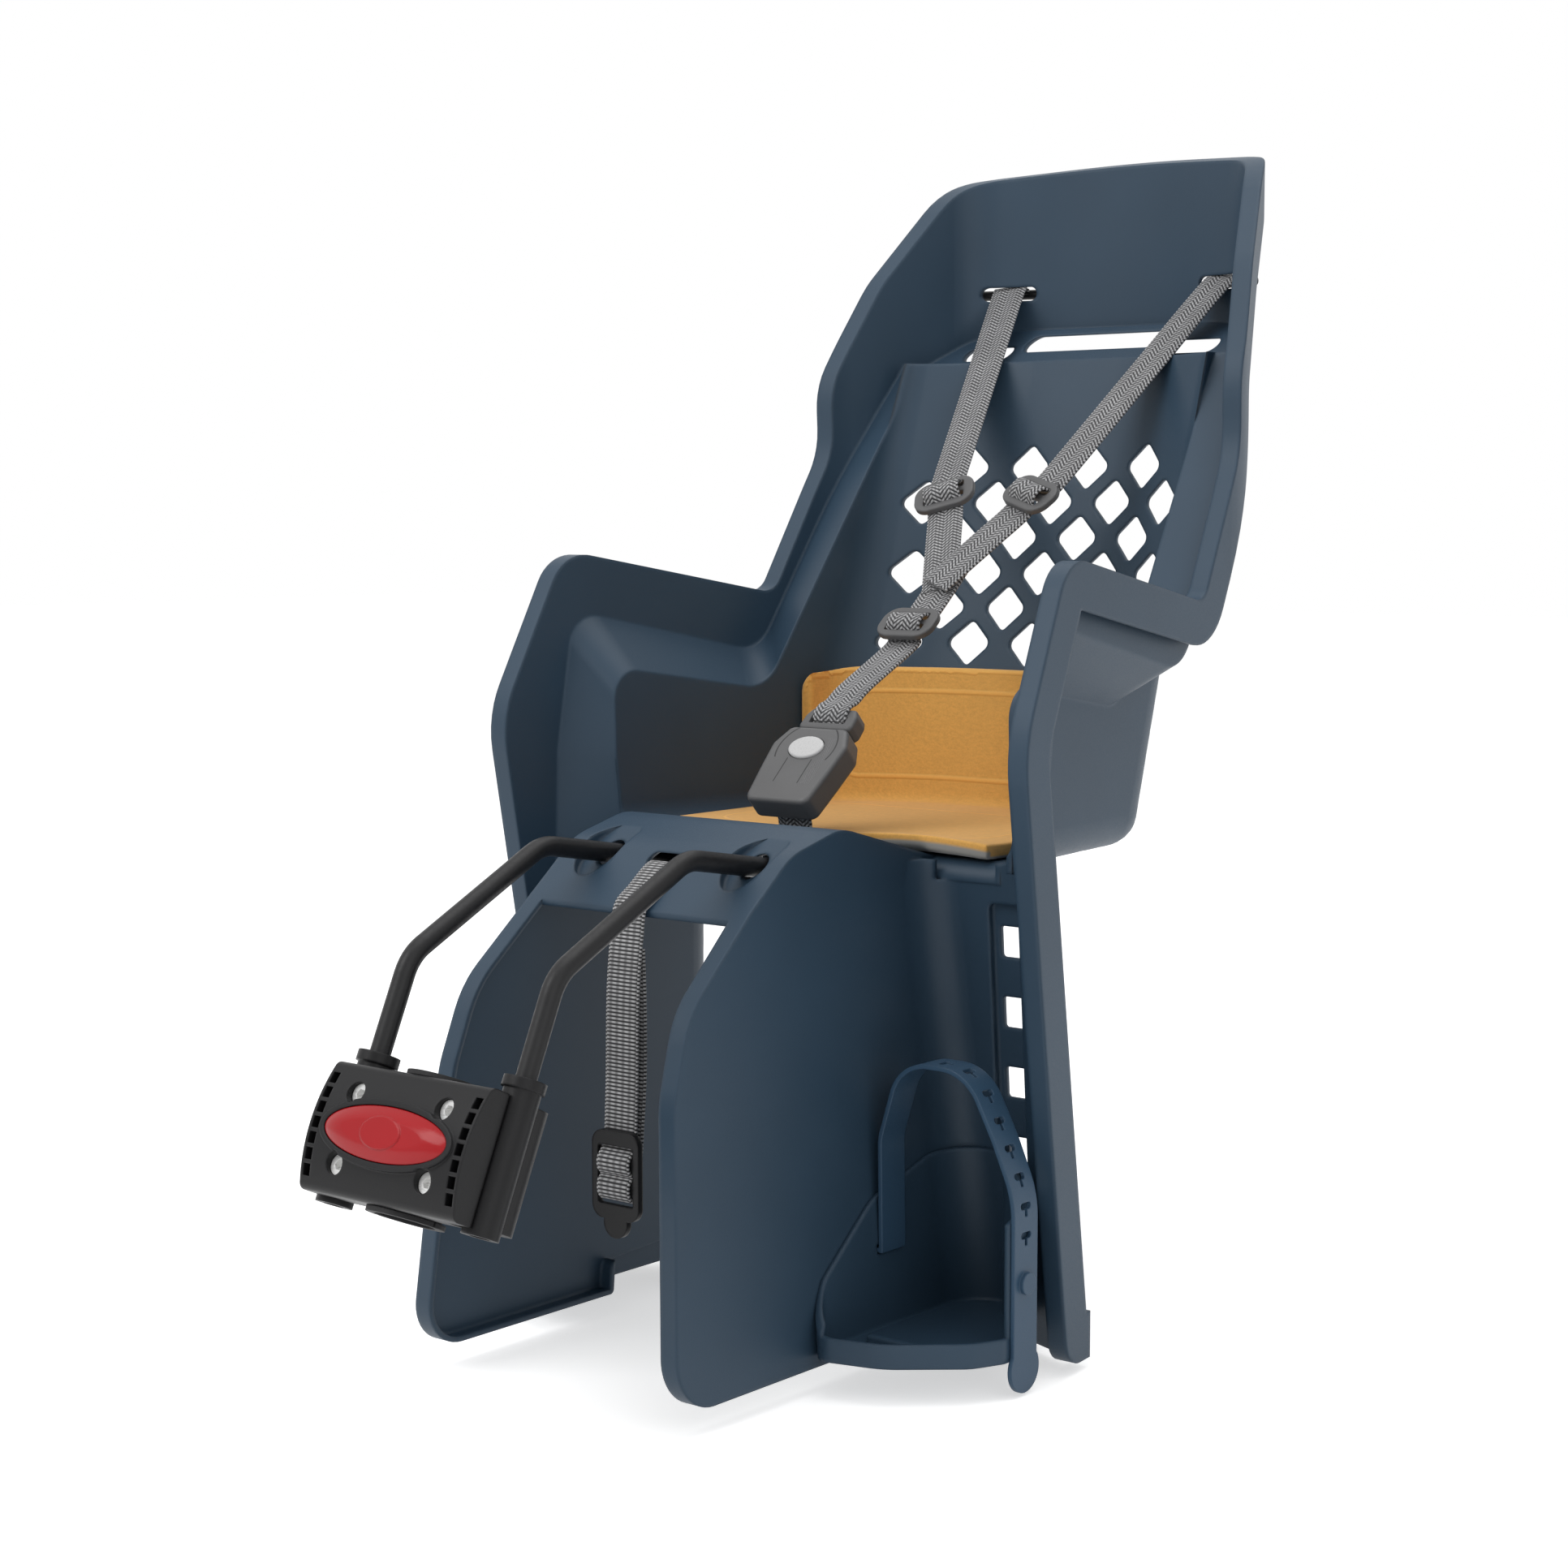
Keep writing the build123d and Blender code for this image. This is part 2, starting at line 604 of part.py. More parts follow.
# Tube clamp block, drawn in its own plane: x across, y to the rear, z up along the tube

def lock_cylinder(side, x0, x1, radius):
    """A round along the lock's axis, from x0 to x1 on one side."""
    local = Pos(side * (x0 + x1) / 2, 0, JAW_MID_Z) * Rot(0, 90, 0) * Cylinder(radius, x1 - x0)
    return block * local


def clamp_screw_places():
    for x in (-CLAMP_SCREW_X, CLAMP_SCREW_X):
        for z in (JAW_MID_Z - CLAMP_SCREW_SPACING / 2, JAW_MID_Z + CLAMP_SCREW_SPACING / 2):
            yield x, z


def along_depth(x, z, radius, y0, y1):
    """A round along the block's depth."""
    return Pos(x, (y0 + y1) / 2, z) * Rot(90, 0, 0) * Cylinder(radius, y1 - y0)


def lock_room():
    """The hollow for the locks: collar travel and the button's legs."""
    room = []
    for side in (-1, 1):
        room.append(lock_cylinder(side, LOCK_COLLAR_X - 5, LOCK_COLLAR_X + LOCK_COLLAR + 0.4,
                                  LOCK_COLLAR_D / 2 + 0.5))
        room.append(lock_cylinder(side, LOCK_INNER_X - BUTTON_TRAVEL - 1, rod_x, LOCK_D / 2 + SLIDE_FIT))
        leg = span(LEG_X0 - 0.4, LEG_X1 + 0.4, -BUTTON_FLOOR - 2, 1, JAW_MID_Z - 5.4, JAW_MID_Z + 5.4)
        room.append(block * (leg if side > 0 else mirror(leg, about=Plane.YZ)))
    return room


def block_jaw():
    """The front half: barrel face, button pocket, screw seats and rib pockets."""
    low = JAW_MID_Z - JAW_HEIGHT / 2
    high = JAW_MID_Z + JAW_HEIGHT / 2
    face = Polyline((-JAW_EDGE_FRONT, high), (-JAW_SIDE_BACK, high), (-JAW_SIDE_BACK, low),
                    (-JAW_EDGE_FRONT, low))
    bow = ThreePointArc((-JAW_EDGE_FRONT, low), (-JAW_FRONT, JAW_MID_Z), (-JAW_EDGE_FRONT, high))
    jaw = across(make_face(face.edges() + bow.edges()), -JAW_HALF_WIDTH, JAW_HALF_WIDTH)
    jaw = fillet(jaw.edges().filter_by(Axis.X).group_by(Axis.Y)[0], 5)
    middle = span(-JAW_MIDDLE_HALF, JAW_MIDDLE_HALF, -JAW_SIDE_BACK - 1, -SPLIT_GAP / 2, low, high)
    jaw = jaw + middle
    rim = Ellipse(BUTTON_HALF_LENGTH + 4, BUTTON_HALF_HEIGHT + 4)
    pocket = Ellipse(BUTTON_HALF_LENGTH + BUTTON_CLEARANCE, BUTTON_HALF_HEIGHT + BUTTON_CLEARANCE)
    front = Plane(origin=(0, -JAW_FRONT - 1.5, JAW_MID_Z), x_dir=(1, 0, 0), z_dir=(0, 1, 0))
    jaw = jaw + extrude(front * rim, 6)
    jaw = jaw - extrude(front * pocket, JAW_FRONT + 1.5 - BUTTON_FLOOR)
    jaw = jaw - Cylinder(seat_r, 4 * JAW_HEIGHT)
    for x, z in clamp_screw_places():
        jaw = jaw - along_depth(x, z, CLAMP_SCREW_D / 2 + 0.2, -60, 10)
        jaw = jaw - along_depth(x, z, CLAMP_SCREW_D + 0.3, -60, -CLAMP_SCREW_SEAT)
    pitch = (JAW_HEIGHT - 12) / RIB_COUNT
    for side in (-1, 1):
        for i in range(RIB_COUNT):
            z = low + 6 + (i + 0.5) * pitch
            x = side * (JAW_HALF_WIDTH - 4.5)
            jaw = jaw - Pos(x, -JAW_FRONT, z) * Box(5.5, 26, pitch - 2.2)
    jaw = block * jaw
    for room in lock_room():
        jaw = jaw - room
    return jaw


def block_body():
    """The rear half with the two rod sockets."""
    low = JAW_MID_Z - BODY_HEIGHT / 2
    high = JAW_MID_Z + BODY_HEIGHT / 2
    body = span(-BODY_HALF_WIDTH, BODY_HALF_WIDTH, SPLIT_GAP / 2, BODY_BACK, low, high)
    body = fillet(body.edges().filter_by(Axis.Z).group_by(Axis.Y)[-1], 14)
    socket_r = rod_r + SOCKET_WALL
    for x in (-rod_x, rod_x):
        tube = Pos(x, 0, SOCKET_BOTTOM) * Cylinder(socket_r, SOCKET_TOP - SOCKET_BOTTOM,
                                                    align=(Align.CENTER, Align.CENTER, Align.MIN))
        collar = Pos(x, 0, SOCKET_TOP - 6) * Cylinder(socket_r + 1.5, 6,
                                                      align=(Align.CENTER, Align.CENTER, Align.MIN))
        body = body + tube + collar
    for x in (-rod_x, rod_x):
        body = body - Pos(x, 0, 0) * Cylinder(rod_r + SLIDE_FIT, 4 * BODY_HEIGHT)
    body = body - Cylinder(seat_r, 4 * BODY_HEIGHT)
    nut = RegularPolygon(CLAMP_SCREW_D + 0.3, 6)
    for x, z in clamp_screw_places():
        body = body - along_depth(x, z, CLAMP_SCREW_D / 2 + 0.2, -10, 60)
        seat = Plane(origin=(x, CLAMP_NUT_SEAT, z), x_dir=(1, 0, 0), z_dir=(0, 1, 0))
        body = body - extrude(seat * nut, 40)
    body = block * body
    for room in lock_room():
        body = body - room
    return body


def tube_liner(side):
    """Half of the rubber in the clamp bore, front (-1) or rear (+1), with a lip at each end."""
    top = JAW_MID_Z + JAW_HEIGHT / 2
    low = JAW_MID_Z - JAW_HEIGHT / 2
    ring = pin((0, 0, low - LINER_LIP), (0, 0, top + LINER_LIP), seat_r)
    for z in (low - LINER_LIP, top + 0.2):
        ring = ring + pin((0, 0, z), (0, 0, z + LINER_LIP - 0.2), seat_r + LINER)
    ring = ring - Cylinder(bore_r, 4 * JAW_HEIGHT)
    keep = span(-100, 100, SPLIT_GAP / 2, 100, -200, 200)
    keep = keep if side > 0 else mirror(keep, about=Plane.XZ)
    return block * (ring & keep)


def clamp_screws():
    screws = []
    for x, z in clamp_screw_places():
        shank = along_depth(x, z, CLAMP_SCREW_D / 2, -CLAMP_SCREW_SEAT - 1, CLAMP_NUT_SEAT + 6.5)
        head = along_depth(x, z, CLAMP_SCREW_D, -CLAMP_SCREW_SEAT - 6, -CLAMP_SCREW_SEAT)
        top = Plane(origin=(x, -CLAMP_SCREW_SEAT - 6, z), x_dir=(1, 0, 0), z_dir=(0, 1, 0))
        screws.append(block * (shank + head - extrude(top * RegularPolygon(3.1, 6), 3.5)))
    return Compound(children=screws)


def clamp_nuts():
    nuts = []
    for x, z in clamp_screw_places():
        seat = Plane(origin=(x, CLAMP_NUT_SEAT, z), x_dir=(1, 0, 0), z_dir=(0, 1, 0))
        nut = extrude(seat * RegularPolygon(CLAMP_SCREW_D, 6), 5)
        nuts.append(block * (nut - along_depth(x, z, CLAMP_SCREW_D / 2 + 0.02, 0, 60)))
    return Compound(children=nuts)


def release_button():
    """The red oval: a plate with a domed face, a raised middle and two forked wedge legs."""
    under = BUTTON_FLOOR + BUTTON_TRAVEL + 0.5
    oval = Ellipse(BUTTON_HALF_LENGTH, BUTTON_HALF_HEIGHT)
    base = Plane(origin=(0, -under, JAW_MID_Z), x_dir=(1, 0, 0), z_dir=(0, -1, 0))
    button = extrude(base * oval, BUTTON_THICK)
    top = base.offset(BUTTON_THICK)
    shoulder = Ellipse(BUTTON_HALF_LENGTH - 6, BUTTON_HALF_HEIGHT - 4)
    crown = Ellipse(BUTTON_HALF_LENGTH - 16, BUTTON_HALF_HEIGHT - 8)
    dome = loft([top * oval, top.offset(BUTTON_DOME * 0.6) * shoulder, top.offset(BUTTON_DOME) * crown])
    middle = extrude(top.offset(BUTTON_DOME - 0.5) * Ellipse(15, 9), 1.2)
    button = button + dome + fillet(middle.faces().sort_by(Axis.Y)[0].edges(), 0.6)
    root = -under - 0.5
    tip_x = LEG_X0 + leg_shelf - leg_tip
    wedge = Polyline((LEG_X0, root), (LEG_X0, -leg_shelf), (tip_x, -leg_tip), (LEG_X1, -leg_tip),
                     (LEG_X1, root), close=True)
    leg = extrude(Plane.XY.offset(JAW_MID_Z - LEG_HEIGHT / 2) * make_face(wedge.edges()), LEG_HEIGHT)
    leg = leg - span(0, LEG_X1 + 1, -leg_shelf, 0, JAW_MID_Z - fork, JAW_MID_Z + fork)
    return block * (button + leg + mirror(leg, about=Plane.YZ))


def release_spring():
    height = BUTTON_TRAVEL + 0.5
    spring = coil(6, 0.45, height, 3)
    seat = Plane(origin=(0, -BUTTON_FLOOR, JAW_MID_Z), x_dir=(1, 0, 0), z_dir=(0, -1, 0))
    return block * (seat * spring)


def bar_lock(side):
    """A pin with a collar that bites into the rod."""
    tip = rod_x - rod_r + LOCK_BITE
    lock = lock_cylinder(side, LOCK_INNER_X, tip, LOCK_D / 2)
    return lock + lock_cylinder(side, LOCK_COLLAR_X, LOCK_COLLAR_X + LOCK_COLLAR, LOCK_COLLAR_D / 2)


def lock_spring(side):
    """The spring behind a lock's collar."""
    start = LOCK_COLLAR_X - 5
    spring = coil(LOCK_D / 2 + 1.0, 0.4, 5, 4)
    turned = Pos(side * start, 0, JAW_MID_Z) * Rot(0, side * 90, 0) * spring
    return block * turned


# Footrests

def footrest_face(z, inset):
    """Plan of the right footrest at height z, set in by its wall for the inside."""
    inner_x = guard_x(z) + FOOTREST_GAP + inset
    back_y = trough_y(z) - FOOTREST_GAP - inset
    side_x = 197.0 - inset
    points = [(inner_x, back_y), (inner_x, 194 + inset), (150, 206 + inset), (188 - inset, 238 + inset),
              (side_x, 258), (side_x, 282), (183 - inset, 300), (148 - inset, 334 - inset),
              (148 - inset, back_y)]
    radii = [TROUGH_CORNER + 2, 12, 40, 22, 10, 8, 8, 4, 4]
    run = FilletPolyline(*points, radius=radii, close=True)
    return Plane.XY.offset(z) * make_face(run.edges())


def right_footrest():
    """A cup with a raised inner side, a grip ridge and a slot for the strap."""
    low, high = FOOTREST_FLOOR_Z, FOOTREST_TOP_Z
    cup = loft([footrest_face(low, 0), footrest_face(high, 0)], ruled=True)
    inner_low = footrest_face(low + 4, FOOTREST_WALL)
    inner_high = footrest_face(high + 20, FOOTREST_WALL)
    hollow = loft([inner_low, inner_high], ruled=True)
    side = outline([(180, low - 5), (180, low + 10), (196, low + 10), (212, -104), (262, -66), (320, -50),
                    (380, high)], [2, 6, 14, 40, 60], [(380, low - 5)])
    cup = (cup - hollow) & across(side, 0, 300)
    ridge = Pos(146, 236, low + 4) * Box(56, 6, 4, align=(Align.CENTER, Align.CENTER, Align.MIN))
    slot = span(80, 116, FOOT_STRAP_Y - FOOT_STRAP_WIDTH / 2 - 1, FOOT_STRAP_Y + FOOT_STRAP_WIDTH / 2 + 1,
                STRAP_SLOT_Z - 3, STRAP_SLOT_Z + 3)
    cup = cup - span(112, 190, 150, EAR_FRONT_Y, low + 14, 0) - span(189, 210, 150, EAR_FRONT_Y, low + 14, 0)
    return cup + fillet(ridge.edges().filter_by(Axis.X).group_by(Axis.Z)[-1], 1.5) - slot


def foot_strap_path():
    """Front view of the strap: up from the slot, over the foot, down outside the cup."""
    inner = guard_x(STRAP_SLOT_Z) + FOOTREST_GAP + FOOTREST_WALL + FOOT_STRAP_THICK / 2 + 0.4
    outer = 197.0 + FOOT_STRAP_THICK / 2 + 0.3
    points = [(inner, STRAP_SLOT_Z), (inner - 1, -30), (118, 17), (165, 17), (outer - 14, -20), (outer, -52),
              (outer, -158)]
    return FilletPolyline(*points, radius=[26, 26, 30, 40, 60])


def right_foot_strap():
    """A rubber band with key-shaped holes, a stud and a round pull tab."""
    path = foot_strap_path()
    band = trace(path, FOOT_STRAP_THICK)
    front = Plane(origin=(0, FOOT_STRAP_Y - FOOT_STRAP_WIDTH / 2, 0), x_dir=(1, 0, 0), z_dir=(0, -1, 0))
    strap = extrude(front * band, -FOOT_STRAP_WIDTH)
    tail = span(guard_x(STRAP_SLOT_Z) + FOOTREST_GAP - 0.2, (path @ 0).X + FOOT_STRAP_THICK / 2,
                FOOT_STRAP_Y - FOOT_STRAP_WIDTH / 2, FOOT_STRAP_Y + FOOT_STRAP_WIDTH / 2,
                STRAP_SLOT_Z - 2, STRAP_SLOT_Z + 0.6)
    strap = strap + tail
    for i in range(FOOT_STRAP_HOLES):
        at = 0.40 + 0.05 * i
        point = path @ at
        tangent = path % at
        place = Plane(origin=(point.X, FOOT_STRAP_Y, point.Y), x_dir=(0, 1, 0),
                      z_dir=(-tangent.Y, 0, tangent.X))
        key = SlotOverall(10, 4) + Pos(0, -3.5) * Rectangle(2.6, 5)
        strap = strap - extrude(place * key, 6, both=True)
    outer = (path @ 1).X + FOOT_STRAP_THICK / 2
    stud = pin((outer - 1, FOOT_STRAP_Y, -102), (outer + 2.6, FOOT_STRAP_Y, -102), 6.5)
    tab = pin((outer - FOOT_STRAP_THICK, FOOT_STRAP_Y, -152), (outer, FOOT_STRAP_Y, -152), 14)
    return strap + stud + tab


# Pad

def seat_pad():
    """The felt pad: it lines the pan and the lower part of the panel."""
    lining = bucket(-PAD_GAP) - bucket(-PAD_GAP - PAD_THICK)
    seat = span(-PAD_SEAT_HALF, PAD_SEAT_HALF, PAD_FRONT_Y, 520, 0, PAN_Z + 26)
    back = span(-150, 150, PAD_BACK_Y, 640, 0, PAD_TOP_Z)
    apron = across(offset(guard_outline(), amount=PAD_GAP), -GUARD_X, GUARD_X)
    return (lining & (seat + back)) - apron


# Harness

def shoulder_points(side):
    """From behind the headrest through the upper slot down to where both straps meet."""
    slot, along, outward = headrest_slot(side)
    points = [tuple(slot + outward * (WALL / 2 + 3)), tuple(slot - outward * (WALL / 2 + 2)),
              (side * ADJUSTER_X, ADJUSTER_Y, ADJUSTER_Z)]
    lift = (3.2 if side < 0 else 6.2) * WEB_THICK / 1.6
    points.append((side * 7, MERGE_Y - 0.75 * lift, MERGE_Z + 0.66 * lift))
    return points


def headrest_slot(side):
    """The middle of an upper slot in the headrest's wall, the way along it and the way out."""
    along = Vector(0, HEADREST_BACK_Y) - Vector(*HEADREST_CORNER)
    middle = Vector(*HEADREST_CORNER) + along * (1 - UPPER_SLOT_X / HEADREST_CORNER[0])
    along = along.normalized()
    outward = Vector(-along.Y, along.X) * -1
    middle = middle + outward * (WALL / 2)
    place = Vector(side * middle.X, middle.Y, UPPER_SLOT_Z)
    return place, Vector(-side * along.X, -along.Y, 0), Vector(side * outward.X, outward.Y, 0)


def shoulder_turn(side):
    """The way across a shoulder strap that keeps it flat on the strap below."""
    points = shoulder_points(side)
    chest = Vector(0, MERGE_Y - CHEST_Y, MERGE_Z - CHEST_Z)
    facing_child = chest.cross(Vector(1, 0, 0))
    return (Vector(*points[2]) - Vector(*points[3])).cross(facing_child) * -1


def shoulder_strap(side):
    points = shoulder_points(side)
    turn = shoulder_turn(side)
    along = headrest_slot(side)[1] * side
    return ribbon(points, [along, along, turn, turn], WEB_WIDTH, WEB_THICK)


def strap_retainer(side):
    """The round bar behind the slot that the strap's end is sewn round."""
    slot, along, outward = headrest_slot(side)
    middle = slot + outward * (WALL / 2 + 3.3 + RETAINER_D / 2)
    reach = SLOT_LENGTH / 2 + 3
    return pin(tuple(middle - along * reach), tuple(middle + along * reach), RETAINER_D / 2)


def buckle_frame():
    tilt = radians(BUCKLE_TILT)
    return Plane(origin=(0, BUCKLE_Y, BUCKLE_Z), x_dir=(1, 0, 0), z_dir=(0, -sin(tilt), cos(tilt)))


def chest_webbing():
    """Both straps, one on the other, from where they meet to the buckle tongue."""
    frame = buckle_frame()
    points = [(0, MERGE_Y + 4, MERGE_Z + 4), (0, CHEST_Y, CHEST_Z)]
    points += [tuple(frame.from_local_coords((0, y, 0))) for y in (58, 31)]
    return ribbon(points, [(1, 0, 0)] * 4, WEB_WIDTH, 2 * WEB_THICK)


def adjuster(place):
    """A three-bar slide; place lies on the webbing's upper face with y along the webbing."""
    plate = extrude(RectangleRounded(ADJUSTER_WIDTH, ADJUSTER_LENGTH, 11), ADJUSTER_THICK)
    plate = fillet(plate.faces().sort_by(Axis.Z)[-1].edges(), 1.2)
    window = extrude(RectangleRounded(WEB_WIDTH + 3, 6.5, 1.5), 3 * ADJUSTER_THICK, both=True)
    for y in (-5.2, 5.2):
        plate = plate - Pos(0, y, 0) * window
    return place * plate


def strap_place(point, toward, width_dir, up_from):
    """A plane on a strap's upper face: y along the strap, z off the child's side."""
    along = (Vector(*toward) - Vector(*point)).normalized()
    normal = along.cross(width_dir).normalized()
    if normal.Z < 0:
        normal = -normal
    origin = Vector(*point) + normal * up_from
    return Plane(origin=origin, x_dir=along.cross(normal), z_dir=normal)


def shoulder_adjuster(side):
    points = shoulder_points(side)
    return adjuster(strap_place(points[2], points[3], shoulder_turn(side), 1.05 * WEB_THICK))


def chest_adjuster():
    place = strap_place((0, CHEST_Y, CHEST_Z), (0, MERGE_Y, MERGE_Z), Vector(1, 0, 0), 2.5 * WEB_THICK)
    return adjuster(place)


def buckle_housing():
    """The female half: a waisted body with a button well and a bar for the crotch strap."""
    half = BUCKLE_THICK / 2
    points = [(-22, 23), (-29, 8), (-27, -14), (-24, -39), (24, -39), (27, -14), (29, 8), (22, 23)]
    face = make_face(FilletPolyline(*points, radius=6, close=True).edges())
    body = Pos(0, 0, -half) * extrude(face, BUCKLE_THICK)
    body = fillet(body.edges().group_by(Axis.Z)[-1] + body.edges().group_by(Axis.Z)[0], 3)
    room_x = BLADE_HALF_WIDTH + BLADE_GAP
    room_z = BLADE_HALF_THICK + BLADE_GAP
    body = body - span(-room_x, room_x, -6, 40, -room_z, room_z)
    well = Pos(0, BUCKLE_BUTTON_Y, half - BUCKLE_WELL) * extrude(Ellipse(13.4, 9.4), 10)
    body = body - well - Pos(0, BUCKLE_BUTTON_Y, half / 2) * Cylinder(4, half)
    slot_x = WEB_WIDTH / 2 + WEB_FIT
    body = body - span(-slot_x, slot_x, -35, -30, -20, half - 5)
    return buckle_frame() * body


def buckle_button():
    """The pale oval button, domed, with a stem through the well's floor."""
    under = BUCKLE_THICK / 2 - BUCKLE_WELL + BUCKLE_BUTTON_TRAVEL
    button = Pos(0, BUCKLE_BUTTON_Y, under) * extrude(Ellipse(13, 9), 3)
    button = fillet(button.edges().group_by(Axis.Z)[-1], 1.4)
    stem_low = BLADE_HALF_THICK + BUCKLE_BUTTON_TRAVEL + BLADE_GAP
    stem = pin((0, BUCKLE_BUTTON_Y, under + 0.5), (0, BUCKLE_BUTTON_Y, stem_low), 3.6)
    return buckle_frame() * (button + stem)


def buckle_spring():
    floor = BUCKLE_THICK / 2 - BUCKLE_WELL
    spring = Pos(0, BUCKLE_BUTTON_Y, floor) * coil(6.4, 0.4, BUCKLE_BUTTON_TRAVEL, 1.5)
    return buckle_frame() * spring


def buckle_tongue():
    """The male half: a blade in the housing and a loop for the webbing."""
    blade = span(-BLADE_HALF_WIDTH, BLADE_HALF_WIDTH, -4, 26, -BLADE_HALF_THICK, BLADE_HALF_THICK)
    points = [(-21, 24), (-20, 36), (-17, 42), (17, 42), (20, 36), (21, 24)]
    face = make_face(FilletPolyline(*points, radius=4, close=True).edges())
    head = Pos(0, 0, -6) * extrude(face, 12)
    head = fillet(head.edges().group_by(Axis.Z)[-1], 2.5)
    mouth = span(-14, 14, 29, 35, -20, 20)
    slit = span(-14, 14, 34, 80, -2.2, 2.2)
    return buckle_frame() * (blade + head - mouth - slit)


def crotch_strap():
    """Webbing from the buckle's bar down through the pan."""
    frame = buckle_frame()
    points = [tuple(frame.from_local_coords((0, -32.5, z))) for z in (-1, -14)]
    points += [(0, CROTCH_SLOT_Y, 136), (0, CROTCH_SLOT_Y, 126)]
    return ribbon(points, [(1, 0, 0)] * 4, WEB_WIDTH, WEB_THICK)


def crotch_anchor():
    """The bar under the pan that the crotch strap is sewn round."""
    z = 126 - RETAINER_D / 2 - 0.2
    end = SADDLE_INNER_X - WEB_FIT
    return pin((-end, CROTCH_SLOT_Y, z), (end, CROTCH_SLOT_Y, z), RETAINER_D / 2)


# Frame strap

def frame_strap():
    """A loop of webbing that hangs from the apron's slot."""
    y = FRAME_STRAP_Y
    low = FRAME_STRAP_LOW_Z
    slot_y, slot_z = FRAME_SLOT_Y, FRAME_SLOT_Z
    fold = 2.5
    run = [(slot_y + 7, slot_z - 5), (slot_y, slot_z), (slot_y - 7.5, slot_z - 3.6),
           (slot_y - 32, slot_z - 22), (y, 60), (y - fold, low - 0.3)]
    front = trace(FilletPolyline(*run, radius=[4, 10, 16, 60]), WEB_THICK)
    rear = trace(FilletPolyline((y + fold, low - 0.3), (y + 6, 30), (y + 5, 86), radius=60), WEB_THICK)
    bend = Circle(fold + WEB_THICK / 2) - Circle(fold - WEB_THICK / 2)
    bend = Pos(y, low) * (bend & Pos(0, -5) * Rectangle(20, 10))
    return across(front + rear + bend, -FRAME_STRAP_WIDTH / 2, FRAME_STRAP_WIDTH / 2)


def strap_lock():
    """The ladder lock at the strap's low end."""
    y = FRAME_STRAP_Y - 3.6
    frame = RectangleRounded(36, 52, 8)
    for z in (-14, 0, 14):
        frame = frame - Pos(0, z) * RectangleRounded(27.5, 7, 2)
    plate = extrude(Plane(origin=(0, y, FRAME_STRAP_LOW_Z + 4), x_dir=(1, 0, 0), z_dir=(0, -1, 0)) * frame, 4)
    tip = Pos(0, y - 2, FRAME_STRAP_LOW_Z - 24) * Rot(90, 0, 0) * Cylinder(9, 4)
    return plate + tip


def strap_anchor():
    """The bar behind the apron that the frame strap is sewn round."""
    y = FRAME_SLOT_Y + 9.5
    z = FRAME_SLOT_Z - 8
    return pin((-20, y, z), (20, y, z), RETAINER_D / 2)


def build():
    """Every node by name."""
    footrest = right_footrest()
    foot_strap = right_foot_strap()
    nodes = {
        "seat_shell": shell(),
        "right_footrest": mirror(footrest, about=Plane.YZ),
        "left_footrest": footrest,
        "right_foot_strap": mirror(foot_strap, about=Plane.YZ),
        "left_foot_strap": foot_strap,
        "seat_pad": seat_pad(),
        "chest_webbing": chest_webbing(),
        "chest_adjuster": chest_adjuster(),
        "buckle_tongue": buckle_tongue(),
        "buckle_housing": buckle_housing(),
        "buckle_button": buckle_button(),
        "buckle_spring": buckle_spring(),
        "crotch_strap": crotch_strap(),
        "crotch_anchor": crotch_anchor(),
        "support_bar": support_bar(),
        "bar_clamp_plate": bar_clamp_plate(),
        "plate_screws": plate_screws(),
        "block_jaw": block_jaw(),
        "block_body": block_body(),
        "jaw_liner": tube_liner(-1),
        "body_liner": tube_liner(1),
        "clamp_screws": clamp_screws(),
        "clamp_nuts": clamp_nuts(),
        "release_button": release_button(),
        "release_spring": release_spring(),
        "frame_strap": frame_strap(),
        "strap_lock": strap_lock(),
        "strap_anchor": strap_anchor(),
    }
    for side, name in ((1, "left"), (-1, "right")):
        nodes[name + "_shoulder_strap"] = shoulder_strap(side)
        nodes[name + "_strap_retainer"] = strap_retainer(side)
        nodes[name + "_shoulder_adjuster"] = shoulder_adjuster(side)
        nodes[name + "_bar_lock"] = bar_lock(side)
        nodes[name + "_lock_spring"] = lock_spring(side)
    return nodes


os.makedirs("parts", exist_ok=True)
for node_name, solid in build().items():
    export_step(solid, f"parts/{node_name}.step")
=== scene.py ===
import bmesh
import bpy
import json
import math
from mathutils import Matrix, Vector


